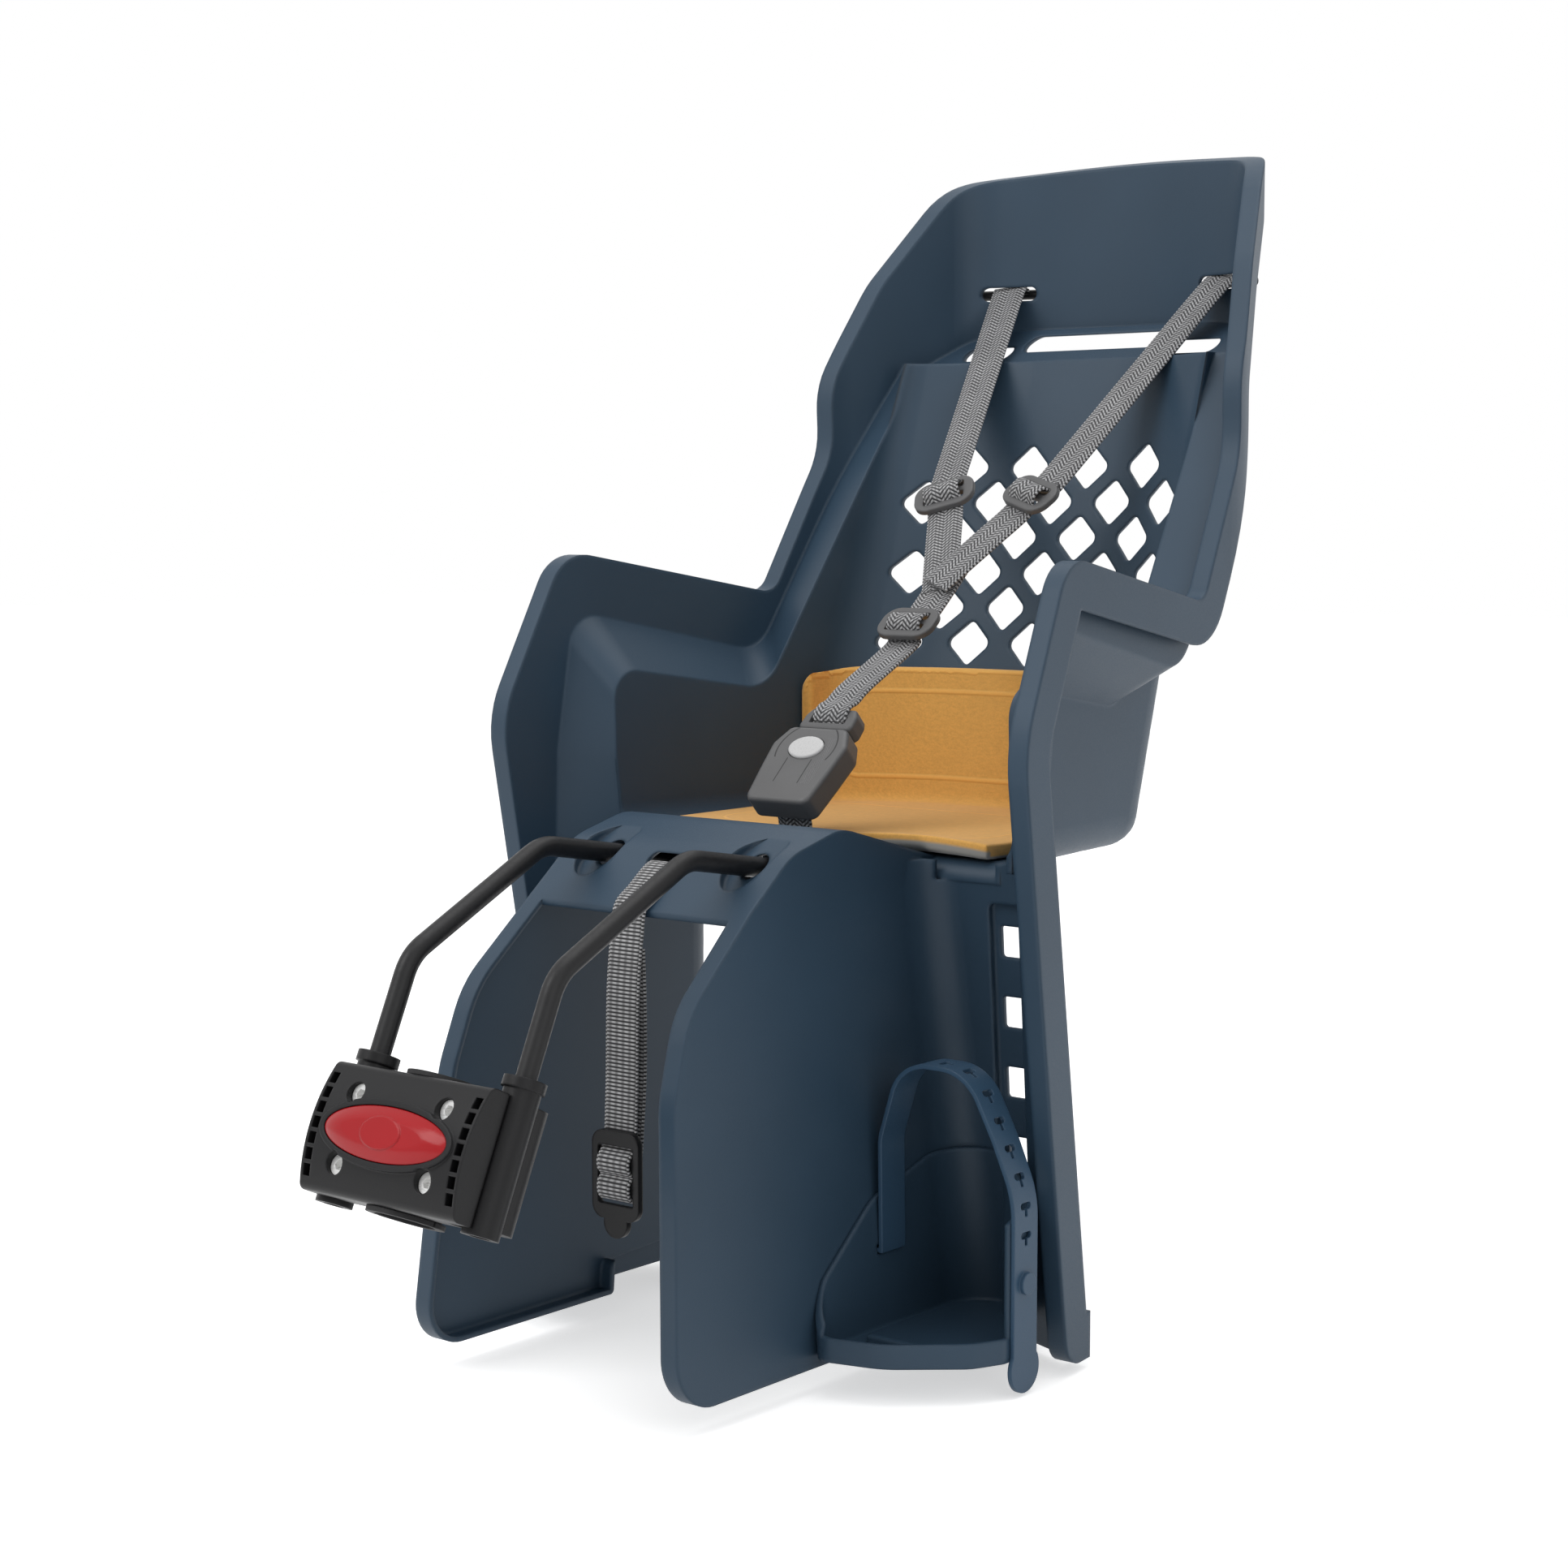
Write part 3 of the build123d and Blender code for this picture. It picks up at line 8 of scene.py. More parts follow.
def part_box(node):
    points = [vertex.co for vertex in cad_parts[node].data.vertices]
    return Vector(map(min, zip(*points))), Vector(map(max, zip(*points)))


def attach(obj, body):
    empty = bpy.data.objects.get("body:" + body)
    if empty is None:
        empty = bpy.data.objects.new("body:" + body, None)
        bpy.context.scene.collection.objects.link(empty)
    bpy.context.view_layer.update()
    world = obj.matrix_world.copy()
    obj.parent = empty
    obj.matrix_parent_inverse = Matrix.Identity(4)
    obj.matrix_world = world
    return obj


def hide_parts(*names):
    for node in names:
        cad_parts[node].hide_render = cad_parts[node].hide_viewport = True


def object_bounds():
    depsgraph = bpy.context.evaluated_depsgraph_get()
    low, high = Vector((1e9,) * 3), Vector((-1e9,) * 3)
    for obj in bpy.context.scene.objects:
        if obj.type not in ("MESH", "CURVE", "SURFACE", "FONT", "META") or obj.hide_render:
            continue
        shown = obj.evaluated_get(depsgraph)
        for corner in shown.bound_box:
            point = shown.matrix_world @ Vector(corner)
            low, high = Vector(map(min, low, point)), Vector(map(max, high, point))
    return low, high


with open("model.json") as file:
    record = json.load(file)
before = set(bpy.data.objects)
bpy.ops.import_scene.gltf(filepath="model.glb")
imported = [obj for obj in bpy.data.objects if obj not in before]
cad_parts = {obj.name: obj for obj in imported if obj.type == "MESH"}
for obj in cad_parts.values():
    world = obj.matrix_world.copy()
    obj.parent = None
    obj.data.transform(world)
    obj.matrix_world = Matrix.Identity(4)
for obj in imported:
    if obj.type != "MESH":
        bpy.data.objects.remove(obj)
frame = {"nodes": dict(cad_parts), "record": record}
cad_low, cad_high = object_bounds()
nodes = frame["nodes"]
scene = bpy.context.scene
scene.view_settings.view_transform = "Standard"

# Sizes and places in metres, repeated from the part
WEB_WIDTH = 0.026
WEB_THICK = 0.0016
FRAME_STRAP_WIDTH = 0.025
BUCKLE_AT = Vector((0, 0.327, 0.181))
BUCKLE_TILT = math.radians(43)

# Colours, in linear red, green and blue
NAVY = (0.026, 0.053, 0.086)
BLUE = (0.032, 0.071, 0.122)
GREY = (0.100, 0.100, 0.102)
PALE_GREY = (0.56, 0.56, 0.56)
BLACK = (0.010, 0.010, 0.011)
LINER_BLACK = (0.014, 0.014, 0.015)
PAINT_BLACK = (0.009, 0.009, 0.010)
RED = (0.38, 0.004, 0.008)
ZINC = (0.90, 0.90, 0.89)
SPRING_STEEL = (0.48, 0.48, 0.49)
FELT_OCHRE = (0.74, 0.395, 0.100)
FELT_CUT = (0.30, 0.29, 0.27)
HARNESS_PALE = (0.50, 0.50, 0.51)
HARNESS_DARK = (0.022, 0.022, 0.024)
FRAME_PALE = (0.54, 0.54, 0.55)
FRAME_DARK = (0.014, 0.014, 0.015)


# Node helpers

# The part of a noise's range that is used
NOISE_RANGE = (0.3, 0.7)
# Cosines between the rounded and the flat normal: an edge begins to show at the first, is full at the second
EDGE_RANGE = (0.97, 0.80)
BEVEL_SAMPLES = 6


class Graph:
    """One material's nodes, with short calls for the ones used here."""

    def __init__(self, name):
        self.material = bpy.data.materials.new(name)
        self.material.use_nodes = True
        self.tree = self.material.node_tree
        self.shader = self.tree.nodes["Principled BSDF"]
        self.place = self.add("ShaderNodeTexCoord")

    def add(self, kind, **values):
        node = self.tree.nodes.new(kind)
        for key, value in values.items():
            setattr(node, key, value)
        return node

    def link(self, source, target):
        self.tree.links.new(source, target)

    def set(self, **values):
        """Give shader inputs their values; an underscore stands for a space."""
        for key, value in values.items():
            self.shader.inputs[key.replace("_", " ")].default_value = value

    def wire(self, **sources):
        """Link sockets to shader inputs; an underscore stands for a space."""
        for key, source in sources.items():
            self.link(source, self.shader.inputs[key.replace("_", " ")])

    def noise(self, scale, detail=4.0, stretch=None):
        node = self.add("ShaderNodeTexNoise")
        node.inputs["Scale"].default_value = scale
        node.inputs["Detail"].default_value = detail
        vector = self.place.outputs["Object"]
        if stretch:
            mapping = self.add("ShaderNodeMapping")
            mapping.inputs["Scale"].default_value = stretch
            self.link(vector, mapping.inputs["Vector"])
            vector = mapping.outputs["Vector"]
        self.link(vector, node.inputs["Vector"])
        return node.outputs["Fac"]

    def math(self, kind, a, b=None):
        """One step of arithmetic; each value is a number or a socket."""
        node = self.add("ShaderNodeMath", operation=kind)
        for i, value in enumerate((a, b)):
            if value is None:
                continue
            if isinstance(value, (int, float)):
                node.inputs[i].default_value = value
            else:
                self.link(value, node.inputs[i])
        return node.outputs[0]

    def product(self, first, *others):
        """Values multiplied together; masks of 0 and 1 are joined in the same way."""
        result = first
        for value in others:
            result = self.math("MULTIPLY", result, value)
        return result

    def between(self, value, low, high):
        """1 where a value is between two limits, else 0."""
        return self.product(self.math("GREATER_THAN", value, low), self.math("LESS_THAN", value, high))

    def off(self, value, middle):
        """How far a value is from a middle, to either side."""
        return self.math("ABSOLUTE", self.math("SUBTRACT", value, middle))

    def length(self, a, b):
        """Length of a step of a one way and b the other."""
        return self.math("SQRT", self.math("ADD", self.product(a, a), self.product(b, b)))

    def ramp(self, factor, low, high, start=0.0, end=1.0):
        node = self.add("ShaderNodeMapRange")
        node.inputs["From Min"].default_value = low
        node.inputs["From Max"].default_value = high
        node.inputs["To Min"].default_value = start
        node.inputs["To Max"].default_value = end
        self.link(factor, node.inputs["Value"])
        return node.outputs["Result"]

    def mix(self, factor, a, b):
        """Mix two colours; each is a tuple or a socket."""
        node = self.add("ShaderNodeMix", data_type="RGBA")
        self.link(factor, node.inputs["Factor"])
        for socket, value in zip((node.inputs[6], node.inputs[7]), (a, b)):
            if isinstance(value, tuple):
                socket.default_value = (*value, 1)
            else:
                self.link(value, socket)
        return node.outputs[2]

    def bump(self, height, strength, distance, normal=None):
        node = self.add("ShaderNodeBump")
        node.inputs["Strength"].default_value = strength
        node.inputs["Distance"].default_value = distance
        self.link(height, node.inputs["Height"])
        if normal is not None:
            self.link(normal, node.inputs["Normal"])
        return node.outputs["Normal"]

    def soft_edge(self, radius):
        """Rounded-edge normal, and a mask that is 1 along the edges."""
        bevel = self.add("ShaderNodeBevel", samples=BEVEL_SAMPLES)
        bevel.inputs["Radius"].default_value = radius
        flat = self.add("ShaderNodeNewGeometry")
        dot = self.add("ShaderNodeVectorMath", operation="DOT_PRODUCT")
        self.link(bevel.outputs["Normal"], dot.inputs[0])
        self.link(flat.outputs["Normal"], dot.inputs[1])
        return bevel.outputs["Normal"], self.ramp(dot.outputs["Value"], *EDGE_RANGE)

    def separate(self, source):
        """The x, y and z of a vector."""
        node = self.add("ShaderNodeSeparateXYZ")
        self.link(source, node.inputs[0])
        return tuple(node.outputs)

    def attribute(self, name):
        return self.add("ShaderNodeAttribute", attribute_name=name).outputs["Fac"]


def shade(color, by):
    """A colour made darker or paler."""
    return tuple(min(1.0, channel * by) for channel in color)


# Plastic, rubber and metal

def moulded(name, color, rough, grain, radius, depth=0.00012, edge_wear_and_highlight=1.35, shine=0.35):
    """Moulded plastic or rubber: fine grain, slight clouding, edges a little paler as wear and a painted
    highlight.
    """
    g = Graph(name)
    normal, edge = g.soft_edge(radius)
    cloud = g.noise(scale=9.0, detail=3.0)
    speck = g.noise(grain, detail=2.0)
    base = g.mix(g.ramp(cloud, *NOISE_RANGE), shade(color, 0.92), shade(color, 1.07))
    # Edges made paler along the bevel's edge mask: partly wear, partly a painted highlight
    base = g.mix(g.product(edge, 0.7), base, shade(color, edge_wear_and_highlight))
    g.wire(Base_Color=base,
           Roughness=g.ramp(speck, *NOISE_RANGE, start=rough - 0.05, end=rough + 0.07),
           Normal=g.bump(speck, strength=0.35, distance=depth, normal=normal))
    g.set(Specular_IOR_Level=shine)
    return g.material


def metal(name, color, rough, radius, stretch=(60, 60, 900), metallic=1.0, depth=0.00003):
    """Bare or painted metal with a fine directional finish."""
    g = Graph(name)
    normal, edge = g.soft_edge(radius)
    brushed = g.noise(scale=1.0, detail=3.0, stretch=stretch)
    base = g.mix(g.ramp(brushed, *NOISE_RANGE), shade(color, 0.88), shade(color, 1.1))
    # Edges made paler along the bevel's edge mask: partly wear, partly a painted highlight
    base = g.mix(g.product(edge, 0.5), base, shade(color, 1.3))
    g.wire(Base_Color=base,
           Roughness=g.ramp(brushed, *NOISE_RANGE, start=rough - 0.06, end=rough + 0.08),
           Normal=g.bump(brushed, strength=0.3, distance=depth, normal=normal))
    g.set(Metallic=metallic, Specular_IOR_Level=0.3)
    return g.material


# The buckle's front in its own frame: x across, y along the webbing, z off the child
FACE_Z = 0.0086
BUTTON_Y = 0.005
GROOVE_INNER = 0.0212
GROOVE_OUTER = 0.0222
GROOVE_FOOT_Y = -0.004
SLIT_INNER = 0.0090
SLIT_OUTER = 0.0098
GRIP_INNER = 0.0122
GRIP_OUTER = 0.0190
GRIP_TOP_Y = 0.014
GRIP_FOOT_Y = -0.024
GRIP_OFF_BUTTON = 0.0150
# Radians per metre of the waves whose crests are the grip dots
GRIP_WAVE = 4200.0


def buckle_space(g):
    """Sockets for x, y and z in the buckle's own frame."""
    shift = g.add("ShaderNodeVectorMath", operation="SUBTRACT")
    shift.inputs[1].default_value = BUCKLE_AT
    g.link(g.place.outputs["Object"], shift.inputs[0])
    turn = g.add("ShaderNodeVectorRotate", rotation_type="X_AXIS")
    turn.inputs["Angle"].default_value = -BUCKLE_TILT
    g.link(shift.outputs[0], turn.inputs["Vector"])
    return g.separate(turn.outputs[0])


def buckle_face(name, color):
    """The buckle's plastic: a groove round the button and two slits below it, darkened as painted shade, and
    a field of grip dots.
    """
    g = Graph(name)
    normal, edge = g.soft_edge(radius=0.0012)
    x, y, z = buckle_space(g)
    face = g.math("GREATER_THAN", z, FACE_Z)
    aside = g.math("ABSOLUTE", x)
    slit = g.product(g.between(aside, SLIT_INNER, SLIT_OUTER), g.between(y, GRIP_FOOT_Y, GROOVE_FOOT_Y))
    reach = g.length(x, g.math("SUBTRACT", y, BUTTON_Y))
    ring = g.product(g.between(reach, GROOVE_INNER, GROOVE_OUTER), g.math("GREATER_THAN", y, GROOVE_FOOT_Y))
    groove = g.product(g.math("MAXIMUM", slit, ring), face)
    field = g.product(g.between(x, GRIP_INNER, GRIP_OUTER), g.between(y, GRIP_FOOT_Y, GRIP_TOP_Y),
                      g.math("GREATER_THAN", reach, GRIP_OFF_BUTTON))
    wave = g.product(g.math("SINE", g.product(x, GRIP_WAVE)), g.math("SINE", g.product(y, GRIP_WAVE)))
    dots = g.product(g.ramp(wave, 0.1, 0.6), field, face)
    speck = g.noise(scale=1800.0, detail=2.0)
    cloud = g.ramp(g.noise(scale=30.0), *NOISE_RANGE)
    base = g.mix(cloud, shade(color, 0.94), shade(color, 1.06))
    # Edges made paler along the bevel's edge mask: partly wear, partly a painted highlight
    base = g.mix(g.product(edge, 0.6), base, shade(color, 1.5))
    # Grip dots painted paler: painted highlights on their raised tops
    base = g.mix(dots, base, shade(color, 1.7))
    # Groove and slits painted almost black: painted shade in these recesses
    base = g.mix(groove, base, shade(color, 0.15))
    raised = g.math("ADD", dots, g.product(speck, 0.15))
    height = g.math("SUBTRACT", raised, g.product(groove, 2.0))
    g.wire(Base_Color=base,
           Roughness=g.ramp(speck, *NOISE_RANGE, start=0.38, end=0.5),
           Normal=g.bump(height, strength=0.6, distance=0.0004, normal=normal))
    return g.material


# Felt and webbing

# Raised lines of the pad: one above the bend, on its back part, and one below it, on its seat part
PAD_BEND_Z = 0.149
BACK_LINE = {"middle": 0.184, "half_across": 0.114, "half_along": 0.029, "corner": 0.016}
SEAT_LINE = {"middle": 0.4175, "half_across": 0.105, "half_along": 0.0655, "corner": 0.030}
# Distances from a line's middle where it has faded out and where it is full
LINE_RANGE = (0.0020, 0.0006)
# Stitches in each column of a webbing's ribs
STITCHES = 5


def raised_line(g, across, along, middle, half_across, half_along, corner):
    """1 on the edge of a rounded rectangle, fading to both sides; its middle is at 0 across."""
    out_a = g.math("MAXIMUM", g.math("SUBTRACT", g.math("ABSOLUTE", across), half_across - corner), 0.0)
    out_b = g.math("MAXIMUM", g.math("SUBTRACT", g.off(along, middle), half_along - corner), 0.0)
    return g.ramp(g.off(g.length(out_a, out_b), corner), *LINE_RANGE)


def felt(name, color, under):
    """Pressed felt: short fibres and soft sheen; pale raised lines, a pale rim and a grey cut edge."""
    g = Graph(name)
    fibre_a = g.noise(scale=900.0, stretch=(1.0, 0.2, 1.0))
    fibre_b = g.noise(scale=900.0, stretch=(0.2, 1.0, 0.5))
    fibre = g.math("ADD", g.product(fibre_a, 0.5), g.product(fibre_b, 0.5))
    base = g.mix(g.ramp(fibre, 0.36, 0.64), shade(color, 0.90), shade(color, 1.08))
    cloud = g.noise(scale=24.0, detail=3.0)
    base = g.mix(g.ramp(cloud, 0.35, 0.65, end=0.18), base, shade(color, 0.88))
    x, y, z = g.separate(g.place.outputs["Object"])
    on_back = g.product(raised_line(g, x, z, **BACK_LINE), g.math("GREATER_THAN", z, PAD_BEND_Z))
    on_seat = g.product(raised_line(g, x, y, **SEAT_LINE), g.math("LESS_THAN", z, PAD_BEND_Z))
    raised = g.math("MAXIMUM", g.math("MAXIMUM", on_back, on_seat), g.attribute("rim"))
    base = g.mix(g.product(raised, 0.6), base, shade(color, 1.30))
    base = g.mix(g.attribute("under"), base, under)
    height = g.math("ADD", g.product(fibre, 0.25), raised)
    g.wire(Base_Color=base, Normal=g.bump(height, strength=0.6, distance=0.0012))
    g.set(Roughness=0.95, Sheen_Weight=0.25, Sheen_Roughness=0.5, Specular_IOR_Level=0.2)
    return g.material


def webbing(name, pale, dark, columns, pitch, slope):
    """Woven webbing drawn on the strip's own grid: u across, v along in widths.
    Chevron ribs in columns, each broken into stitches, with a dotted selvedge."""
    g = Graph(name)
    u, v = g.separate(g.place.outputs["UV"])[:2]
    zigzag = g.off(g.math("FRACT", g.product(u, columns)), 0.5)
    along = g.math("ADD", g.product(v, pitch), g.product(zigzag, slope))
    rib = g.ramp(g.off(g.math("FRACT", along), 0.5), 0.16, 0.34)
    stitch = g.math("SINE", g.product(u, math.tau * columns * STITCHES))
    stitch = g.ramp(stitch, -0.9, 0.5, start=0.45)
    dots = g.ramp(g.math("SINE", g.product(v, math.tau * pitch)), -0.3, 0.4)
    selvedge = g.ramp(g.off(u, 0.5), 0.445, 0.455)
    weave = g.product(rib, stitch, g.math("SUBTRACT", 1.0, selvedge))
    height = g.math("ADD", weave, g.product(dots, selvedge))
    wear = g.noise(scale=55.0, detail=3.0)
    base = g.mix(height, dark, pale)
    base = g.mix(g.ramp(wear, 0.35, 0.7, end=0.22), base, shade(dark, 1.5))
    g.wire(Base_Color=base, Normal=g.bump(height, strength=0.6, distance=0.00045))
    g.set(Roughness=0.75, Sheen_Weight=0.15)
    return g.material


# One material for each slot of the record
materials = {
    "shell_plastic": moulded("shell_plastic", NAVY, rough=0.46, grain=1500.0, radius=0.0035, edge_wear_and_highlight=1.25),
    "strap_rubber": moulded("strap_rubber", BLUE, rough=0.44, grain=1200.0, radius=0.0012),
    "buckle_plastic": moulded("buckle_plastic", GREY, rough=0.42, grain=1800.0, radius=0.0012),
    "button_grey": moulded("button_grey", PALE_GREY, rough=0.28, grain=900.0, radius=0.0010,
                           depth=0.00002, edge_wear_and_highlight=1.05),
    "black_plastic": moulded("black_plastic", BLACK, rough=0.38, grain=1500.0, radius=0.0016,
                             edge_wear_and_highlight=1.8, shine=0.22),
    "liner_rubber": moulded("liner_rubber", LINER_BLACK, rough=0.62, grain=900.0, radius=0.0008, edge_wear_and_highlight=1.6),
    "red_plastic": moulded("red_plastic", RED, rough=0.16, grain=700.0, radius=0.0012,
                           depth=0.00001, edge_wear_and_highlight=1.15, shine=0.3),
    "black_steel": metal("black_steel", PAINT_BLACK, rough=0.40, radius=0.0010,
                         stretch=(420, 420, 420), metallic=0.0, depth=0.00008),
    "zinc_steel": metal("zinc_steel", ZINC, rough=0.30, radius=0.0005, metallic=0.25),
    "spring_steel": metal("spring_steel", SPRING_STEEL, rough=0.26, radius=0.0003),
    "pad_felt": felt("pad_felt", FELT_OCHRE, FELT_CUT),
    "webbing": webbing("webbing", HARNESS_PALE, HARNESS_DARK, columns=2.0, pitch=9.0, slope=3.6),
    "frame_webbing": webbing("frame_webbing", FRAME_PALE, FRAME_DARK, columns=1.0, pitch=11.0, slope=0.0),
}

for part in frame["record"]["subparts"]:
    mesh = nodes[part["node"]].data
    mesh.materials.clear()
    mesh.materials.append(materials[part["material_slot"]])
nodes["buckle_housing"].data.materials[0] = buckle_face("buckle_housing", GREY)


# Strips of webbing

# How far a selvedge's rounding reaches in, as a share of half the thickness
SELVEDGE_SHARE = 0.4


def smooth_run(points, normals, steps):
    """A smooth run through points, with the strip's facing normal at each step."""
    run = []
    last = len(points) - 1
    for i in range(last):
        before = points[max(i - 1, 0)]
        start = points[i]
        end = points[i + 1]
        after = points[min(i + 2, last)]
        for step in range(steps):
            t = step / steps
            linear = (end - before) * t
            square = (2 * before - 5 * start + 4 * end - after) * t * t
            cubic = (3 * start - before - 3 * end + after) * t * t * t
            point = (2 * start + linear + square + cubic) / 2
            run.append((point, normals[i].lerp(normals[i + 1], t).normalized()))
    run.append((points[-1], normals[-1]))
    return run


def band_section(width, thick):
    """A band's outline across its run: two flat faces and one point on each selvedge."""
    half = width / 2
    edge = thick / 2
    flat = half - edge * SELVEDGE_SHARE
    upper = [(x, edge) for x in (-flat, -half / 2, 0, half / 2, flat)]
    lower = [(x, -z) for x, z in reversed(upper)]
    return [*upper, (half, 0), *lower, (-half, 0)]


def strip(name, points, normals, width, thick, body, slot, node, steps=8):
    """A flat band with rounded selvedges along a smooth run; it replaces its CAD node."""
    run = smooth_run(points, [normal.normalized() for normal in normals], steps)
    section = band_section(width, thick)
    mesh = bmesh.new()
    uv = mesh.loops.layers.uv.new("UVMap")
    rings = []
    length = 0.0
    for i, (point, normal) in enumerate(run):
        ahead = run[min(i + 1, len(run) - 1)][0]
        behind = run[max(i - 1, 0)][0]
        along = (ahead - behind).normalized()
        across = along.cross(normal).normalized()
        facing = across.cross(along)
        if i:
            length += (point - run[i - 1][0]).length
        ring = [mesh.verts.new(point + across * x + facing * z) for x, z in section]
        rings.append((ring, length))
    count = len(section)
    for (low, low_v), (high, high_v) in zip(rings, rings[1:]):
        for i in range(count):
            after = (i + 1) % count
            face = mesh.faces.new((low[i], low[after], high[after], high[i]))
            face.smooth = True
            corners = ((i, low_v), (after, low_v), (after, high_v), (i, high_v))
            for loop, (at, v) in zip(face.loops, corners):
                loop[uv].uv = (section[at][0] / width + 0.5, v / width)
    mesh.faces.new(list(reversed(rings[0][0])))
    mesh.faces.new(rings[-1][0])
    mesh.normal_update()
    data = bpy.data.meshes.new(name)
    mesh.to_mesh(data)
    mesh.free()
    data.materials.append(materials[slot])
    piece = bpy.data.objects.new(name, data)
    scene.collection.objects.link(piece)
    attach(piece, body)
    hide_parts(node)


# Harness

# A slide from its middle: where the webbing meets it, passes its windows and lies on its bar.
# UNDER and OVER, below, are the webbing's heights in the windows and on the bar.
SLIDE_END = 0.016
SLIDE_WINDOW = 0.0095
SLIDE_BAR = 0.0042
# Shoulder straps, as on the left side; the left one lies over the right one where they meet
SHOULDER_SLOT = (0.0874, 0.670, 0.4925)
SLOT_OUT = (0.261, 0.965, 0)
SLOT_BEFORE = 0.0036
SLOT_BEHIND = 0.0046
SHOULDER_SLIDE = (0.035, 0.520, 0.345)
SHOULDER_UNDER = 0.0026
SHOULDER_OVER = 0.0098
SHOULDER_NORMAL = Vector((0, -0.69, 0.72)).normalized()
UPPER_NORMAL = Vector((0, -0.66, 0.75))
SLOT_NORMAL = Vector((0, -0.55, 0.83))
MEETING = (0.007, 0.478, 0.297)
MEETING_OFF = Vector((0, -0.75, 0.66))
MEETING_LAP = 0.020
LEFT_LIFT = 0.0062
RIGHT_LIFT = 0.0032
# The joined run down to the buckle, a little thicker than one strap
CHEST_START = Vector((0, 0.482, 0.301))
CHEST_SLIDE = Vector((0, 0.434, 0.260))
CHEST_DOWN = Vector((0, -0.765, -0.644))
CHEST_NORMAL = Vector((0, -0.644, 0.765))
CHEST_UNDER = 0.0030
CHEST_OVER = 0.0102
CHEST_THICK = WEB_THICK * 1.3
# Its end at the tongue's bar and the crotch strap's start: y and z in the buckle's own frame
TO_BAR = ((0.066, 0.0005), (0.050, 0.0036), (0.043, 0.0066), (0.0365, 0.0069))
ROUND_BAR = ((0.0318, 0.0030), (0.0312, -0.0030))
BAR_TURN = (0.05, 0.06)
CROTCH_TOP = ((-0.0325, -0.001), (-0.0325, -0.014))
CROTCH_FOOT = (Vector((0, 0.314, 0.136)), Vector((0, 0.314, 0.126)))
CROTCH_NORMAL = Vector((0, -1, 0.2))


def mirrored(point, side):
    """A point or direction of the left side, or its mirror image where side is -1."""
    x, y, z = point
    return Vector((side * x, y, z))


def buckle_direction(y, z):
    """A direction of the buckle's own frame: y along the webbing, z off the child."""
    return Vector((0, y * math.cos(BUCKLE_TILT) - z * math.sin(BUCKLE_TILT),
                   y * math.sin(BUCKLE_TILT) + z * math.cos(BUCKLE_TILT)))


def buckle_point(y, z):
    """A point of the buckle's own frame."""
    return BUCKLE_AT + buckle_direction(y, z)


def through_slide(middle, along, normal, under, over):
    """The webbing's way through a three-bar slide: up one window, over the bar, down the other."""
    climb = ((-SLIDE_END, 0.0), (-SLIDE_WINDOW, under), (-SLIDE_BAR, over))
    descent = [(-step, lift) for step, lift in reversed(climb)]
    return [middle + along * step + normal * lift for step, lift in (*climb, *descent)]


def shoulder_strap(side, name, lift):
    """One shoulder strap: up from where the two meet, through its slide and out of the headrest's slot."""
    slot = mirrored(SHOULDER_SLOT, side)
    out = mirrored(SLOT_OUT, side)
    middle = mirrored(SHOULDER_SLIDE, side)
    meeting = mirrored(MEETING, side) + MEETING_OFF * lift
    along = (middle - meeting).normalized()
    slide = through_slide(middle, along, SHOULDER_NORMAL, SHOULDER_UNDER, SHOULDER_OVER)
    top = slot - out * SLOT_BEFORE
    lower = [meeting - along * MEETING_LAP, meeting, meeting.lerp(slide[0], 0.5), *slide]
    points = [*lower, slide[-1].lerp(top, 0.5), top, slot + out * SLOT_BEHIND]
    normals = [SHOULDER_NORMAL] * len(lower) + [UPPER_NORMAL, SLOT_NORMAL, Vector((0, 0, 1))]
    strip(name + "_shoulder_webbing", points, normals, WEB_WIDTH, WEB_THICK, "seat", "webbing",
          name + "_shoulder_strap")


def chest_strap():
    """The joined run: down through the chest slide and round the bar of the buckle's tongue."""
    run = [CHEST_START, *through_slide(CHEST_SLIDE, CHEST_DOWN, CHEST_NORMAL, CHEST_UNDER, CHEST_OVER)]
    points = [*run, *[buckle_point(y, z) for y, z in (*TO_BAR, *ROUND_BAR)]]
    normals = [CHEST_NORMAL] * len(run)
    normals += [buckle_direction(0, 1)] * len(TO_BAR)
    normals += [buckle_direction(*BAR_TURN)] * len(ROUND_BAR)
    strip("chest_strap", points, normals, WEB_WIDTH, CHEST_THICK, "seat", "webbing", "chest_webbing")


def crotch_strap():
    """The short strap from the buckle's lower slot into the pan."""
    points = [*[buckle_point(y, z) for y, z in CROTCH_TOP], *CROTCH_FOOT]
    strip("crotch_webbing", points, [CROTCH_NORMAL] * len(points), WEB_WIDTH, WEB_THICK, "seat", "webbing",
          "crotch_strap")


shoulder_strap(1, "left", LEFT_LIFT)
shoulder_strap(-1, "right", RIGHT_LIFT)
chest_strap()
crotch_strap()


# Frame strap

# The lock's plate, the strap's place in front of its bars, and the middles of the two bars
PLATE_Y = 0.1474
OVER_BARS_Y = PLATE_Y - 0.0012
BARS_Z = (-0.039, -0.053)
BAR_HALF = 0.0030
BELOW_BAR = 0.0070
# The strap's route: y and z of its points
FROM_SLOT = ((0.2013, 0.1272), (0.1975, 0.1302), (0.1935, 0.1316), (0.1868, 0.1286), (0.1745, 0.1194))
TO_LOCK = ((0.1623, 0.1102), (0.1588, 0.094), (0.1552, 0.060), (0.1540, 0.010),
           (PLATE_Y + 0.0052, -0.022), (PLATE_Y + 0.0046, -0.0285))
BACK_UP = ((PLATE_Y + 0.0056, -0.0603), (PLATE_Y + 0.0078, -0.0570), (0.1575, -0.030),
           (0.1608, 0.010), (0.1612, 0.050), (0.160, 0.086))


